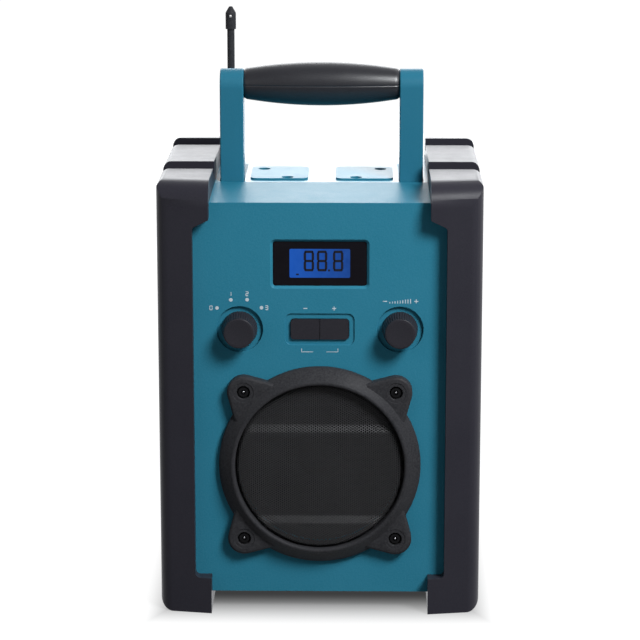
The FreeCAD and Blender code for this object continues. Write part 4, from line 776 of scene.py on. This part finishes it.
# The strokes of each digit: a, g and d lie across from the top down, b and c stand at the right,
# f and e at the left.
STROKES = {"0": "abcdef", "1": "bc", "2": "abged", "3": "abgcd", "8": "abcdefg"}


def stroke_outline(name, x, z, width, height, thick):
    """One of the seven strokes of a plain digit."""
    half = height / 2
    gap = thick * 0.08
    nick = thick / 2
    across = {"a": z + height - nick, "g": z + half, "d": z + nick}
    if name in across:
        middle = across[name]
        left = x + gap + nick
        right = x + width - gap - nick
        return [(left - nick * 0.7, middle), (left, middle - nick), (right, middle - nick),
                (right + nick * 0.7, middle), (right, middle + nick), (left, middle + nick)]
    upper = name in "bf"
    low = z + half + gap if upper else z + gap + nick
    high = z + height - gap - nick if upper else z + half - gap
    middle = x + width - nick if name in "bc" else x + nick
    return [(middle, low - nick * 0.3), (middle + nick, low + nick), (middle + nick, high - nick),
            (middle, high + nick * 0.3), (middle - nick, high - nick), (middle - nick, low + nick)]


def digit(name, x, z, width, height, thick):
    """The strokes of one digit, from its lower left corner."""
    return [stroke_outline(part, x, z, width, height, thick) for part in STROKES[name]]


SIGN_HALF = 1.2 * MM
SIGN_WIDE = 0.25 * MM


def minus(x, z):
    """A small printed minus about a middle."""
    return [bar(x - SIGN_HALF, z - SIGN_WIDE, x + SIGN_HALF, z + SIGN_WIDE)]


def plus(x, z):
    """A small printed plus about a middle."""
    return minus(x, z) + [bar(x - SIGN_WIDE, z + SIGN_WIDE, x + SIGN_WIDE, z + SIGN_HALF),
                          bar(x - SIGN_WIDE, z - SIGN_HALF, x + SIGN_WIDE, z - SIGN_WIDE)]


def selector_marks():
    """Numbered dots round the selector, from angle and place of each number beside its dot."""
    reach = 18.7 * MM
    dot = 1.1 * MM
    width = 1.9 * MM
    height = 2.9 * MM
    thick = 0.5 * MM
    shapes = []
    for name, angle, aside, above in (("0", -46, -4.6, -1.4), ("1", -16, -1.5, 2.2),
                                      ("2", 14.3, -1.0, 2.2), ("3", 45, 2.2, -1.4)):
        turn = math.radians(angle)
        x = left_x + reach * math.sin(turn)
        z = left_z + reach * math.cos(turn)
        shapes.append(disc(x, z, dot))
        shapes += digit(name, x + aside * MM, z + above * MM, width, height, thick)
    return shapes


def volume_marks():
    """Rising level bars between a minus and a plus sign."""
    up = right_z + 17.4 * MM
    foot = up - 1.3 * MM
    bars = 9
    pitch = 1.55 * MM
    half = 0.24 * MM
    lowest = 0.9
    growth = 1.9
    shapes = minus(right_x - 9.2 * MM, up) + plus(right_x + 9.6 * MM, up)
    for number in range(bars):
        x = right_x + (number - (bars - 1) / 2) * pitch
        tall = (lowest + growth * number / (bars - 1)) * MM
        shapes.append(bar(x - half, foot, x + half, foot + tall))
    return shapes


def button_marks():
    """A sign over each button and a split bracket below both."""
    aside = 8.6 * MM
    over = left_z + 12.9 * MM
    low = left_z - 14.1 * MM
    wide = 0.36 * MM
    tall = 2.3 * MM
    shapes = minus(-aside, over) + plus(aside, over)
    for sign in (-1, 1):
        outer = sign * 11.1 * MM
        inner = sign * 4.0 * MM
        left, right = sorted((outer, inner))
        shapes.append(bar(left, low, right, low + wide))
        left, right = sorted((outer, outer - sign * wide))
        shapes.append(bar(left, low + wide, right, low + tall))
    return shapes


flat_mark("panel_marks", selector_marks() + volume_marks() + button_marks(), panel_y, mark_white,
          "blue_plastic", 0.05 * MM)


# The display

def display():
    """The lit field behind the window and a plain number on it."""
    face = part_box("display_window")[0][1]
    level = 216.9 * MM
    half_width = 18.15 * MM
    half_height = 8.8 * MM
    radius = 0.9 * MM
    field_thick = 0.04 * MM
    outline = []
    for sign_x, sign_z, start in ((1, 1, 0), (-1, 1, 90), (-1, -1, 180), (1, -1, 270)):
        for step in range(5):
            angle = math.radians(start + 90 * step / 4)
            outline.append((sign_x * (half_width - radius) + radius * math.cos(angle),
                            level + sign_z * (half_height - radius) + radius * math.sin(angle)))
    lit = lit_material(-half_width, half_width)
    flat_mark("display_field", [outline], face, lit, "display_blue", field_thick)
    base = level - 4.9 * MM
    width = 6.3 * MM
    height = 12.7 * MM
    thick = 1.5 * MM
    strokes = []
    for x in (-9.7 * MM, -1.8 * MM, 7.8 * MM):
        strokes += digit("8", x, base, width, height, thick)
    strokes.append(bar(4.9 * MM, base, 6.1 * MM, base + 1.2 * MM))
    strokes.append(bar(-14.2 * MM, base - 2.4 * MM, -12.6 * MM, base - 1.4 * MM))
    flat_mark("display_digits", strokes, face - field_thick, display_ink, "display_blue", 0.03 * MM)


display()


# Stage, light and camera

def painted_shadow_distance(shader):
    """How far a spot of the floor lies outside the radio's outline, steeper at its sides: the mask of the
    painted shadow below the radio.
    """
    split = shader.add("ShaderNodeSeparateXYZ")
    shader.link(shader.spot, split.inputs["Vector"])
    outside = []
    for axis, half, steep in (("X", 97.5 * MM, 2.0), ("Y", 94 * MM, 1.0)):
        away = shader.add("ShaderNodeMath", operation="ABSOLUTE")
        shader.link(split.outputs[axis], away.inputs[0])
        less = shader.add("ShaderNodeMath", operation="MULTIPLY_ADD")
        shader.link(away.outputs["Value"], less.inputs[0])
        less.inputs[1].default_value = steep
        less.inputs[2].default_value = -half * steep
        outside.append(less.outputs["Value"])
    far = shader.add("ShaderNodeMath", operation="MAXIMUM")
    shader.link(outside[0], far.inputs[0])
    shader.link(outside[1], far.inputs[1])
    return far.outputs["Value"]


def floor_material():
    """Dim to the lamps, and white to the camera except below the radio, where a painted shadow fades the
    white out; the dim base adds only a faint real shadow.
    """
    shader = Shader("floor_white_painted_shadow")
    grain = shader.noise(80 * MM, 3.0, 0.5)
    base = shader.blend(shader.span(grain, 0.0, 1.0), grey(0.115), grey(0.125))
    node = shader.surface(base, 0.9, Specular_IOR_Level=0.0)
    path = shader.add("ShaderNodeLightPath")
    # Painted shadow: near the radio's rest outline the camera's white fades out by place on the floor, not
    # by the lamps.
    painted_shadow_fade = shader.add("ShaderNodeMapRange", interpolation_type="SMOOTHSTEP")
    painted_shadow_fade.inputs["From Min"].default_value = -40 * MM
    painted_shadow_fade.inputs["From Max"].default_value = 30 * MM
    painted_shadow_fade.inputs["To Min"].default_value = 0.045
    shader.link(painted_shadow_distance(shader), painted_shadow_fade.inputs["Value"])
    strength = shader.add("ShaderNodeMath", operation="MULTIPLY")
    shader.link(path.outputs["Is Camera Ray"], strength.inputs[0])
    shader.link(painted_shadow_fade.outputs["Result"], strength.inputs[1])
    glow = shader.add("ShaderNodeEmission")
    glow.inputs["Color"].default_value = WHITE
    shader.link(strength.outputs["Value"], glow.inputs["Strength"])
    both = shader.add("ShaderNodeAddShader")
    shader.link(node.outputs["BSDF"], both.inputs[0])
    shader.link(glow.outputs["Emission"], both.inputs[1])
    shader.link(both.outputs["Shader"], shader.output.inputs["Surface"])
    return shader.material


def stage():
    """A white floor with a painted shadow below the radio, three soft lamps and a plain sky."""
    bpy.ops.mesh.primitive_plane_add(size=12.0, location=(0, 0, 0))
    floor = bpy.context.object
    floor.name = "floor"
    floor.data.materials.append(floor_material())
    floor.visible_glossy = False
    sky()
    lamp("key", (0.78, -0.98, 1.22), (0, 0, 0.15), 0.5, 26.0)
    lamp("back", (0.0, 1.6, 0.62), (0, 0.0, 0.25), 1.5, 21.0)
    lamp("fill", (-1.2, -1.3, 0.6), (0, 0, 0.12), 1.4, 2.5)


def sky():
    """White where the camera looks, dim in front and brighter behind for the light."""
    world = bpy.data.worlds.new("sky")
    bpy.context.scene.world = world
    world.use_nodes = True
    tree = world.node_tree
    tree.nodes.clear()
    path = tree.nodes.new("ShaderNodeLightPath")
    spot = tree.nodes.new("ShaderNodeTexCoord")
    lean = tree.nodes.new("ShaderNodeVectorMath")
    lean.operation = "DOT_PRODUCT"
    lean.inputs[1].default_value = (0.1, 0.9, -0.4)
    tree.links.new(spot.outputs["Generated"], lean.inputs[0])
    rise = tree.nodes.new("ShaderNodeMapRange")
    rise.interpolation_type = "SMOOTHSTEP"
    rise.inputs["From Min"].default_value = -0.7
    rise.inputs["From Max"].default_value = 0.9
    rise.inputs["To Min"].default_value = 0.08
    rise.inputs["To Max"].default_value = 1.1
    tree.links.new(lean.outputs["Value"], rise.inputs["Value"])
    seen = tree.nodes.new("ShaderNodeBackground")
    seen.inputs["Color"].default_value = WHITE
    seen.inputs["Strength"].default_value = 1.0
    light = tree.nodes.new("ShaderNodeBackground")
    light.inputs["Color"].default_value = (0.97, 0.98, 1.0, 1)
    tree.links.new(rise.outputs["Result"], light.inputs["Strength"])
    mix = tree.nodes.new("ShaderNodeMixShader")
    out = tree.nodes.new("ShaderNodeOutputWorld")
    tree.links.new(path.outputs["Is Camera Ray"], mix.inputs[0])
    tree.links.new(light.outputs["Background"], mix.inputs[1])
    tree.links.new(seen.outputs["Background"], mix.inputs[2])
    tree.links.new(mix.outputs["Shader"], out.inputs["Surface"])


def lamp(name, spot, aim, size, power):
    """A square area lamp at a spot, with its aim and size in metres and its power in watts."""
    data = bpy.data.lights.new(name, "AREA")
    data.size = size
    data.energy = power
    data.color = (0.96, 0.98, 1.0)
    item = bpy.data.objects.new(name, data)
    item.location = spot
    item.rotation_euler = (Vector(aim) - Vector(spot)).to_track_quat("-Z", "Y").to_euler()
    bpy.context.scene.collection.objects.link(item)


def camera():
    """The camera at the photograph's viewing angle."""
    data = bpy.data.cameras.new("camera")
    data.lens = 151.3
    data.sensor_width = 36.0
    data.clip_start = 0.05
    item = bpy.data.objects.new("camera", data)
    item.location = (24.0 * MM, -1655.0 * MM, 550.5 * MM)
    downward = 13.175
    turn = 0.87
    item.rotation_euler = (math.radians(90 - downward), 0, math.radians(turn))
    bpy.context.scene.collection.objects.link(item)
    bpy.context.scene.camera = item


stage()
camera()
bpy.context.scene.view_settings.view_transform = "Standard"
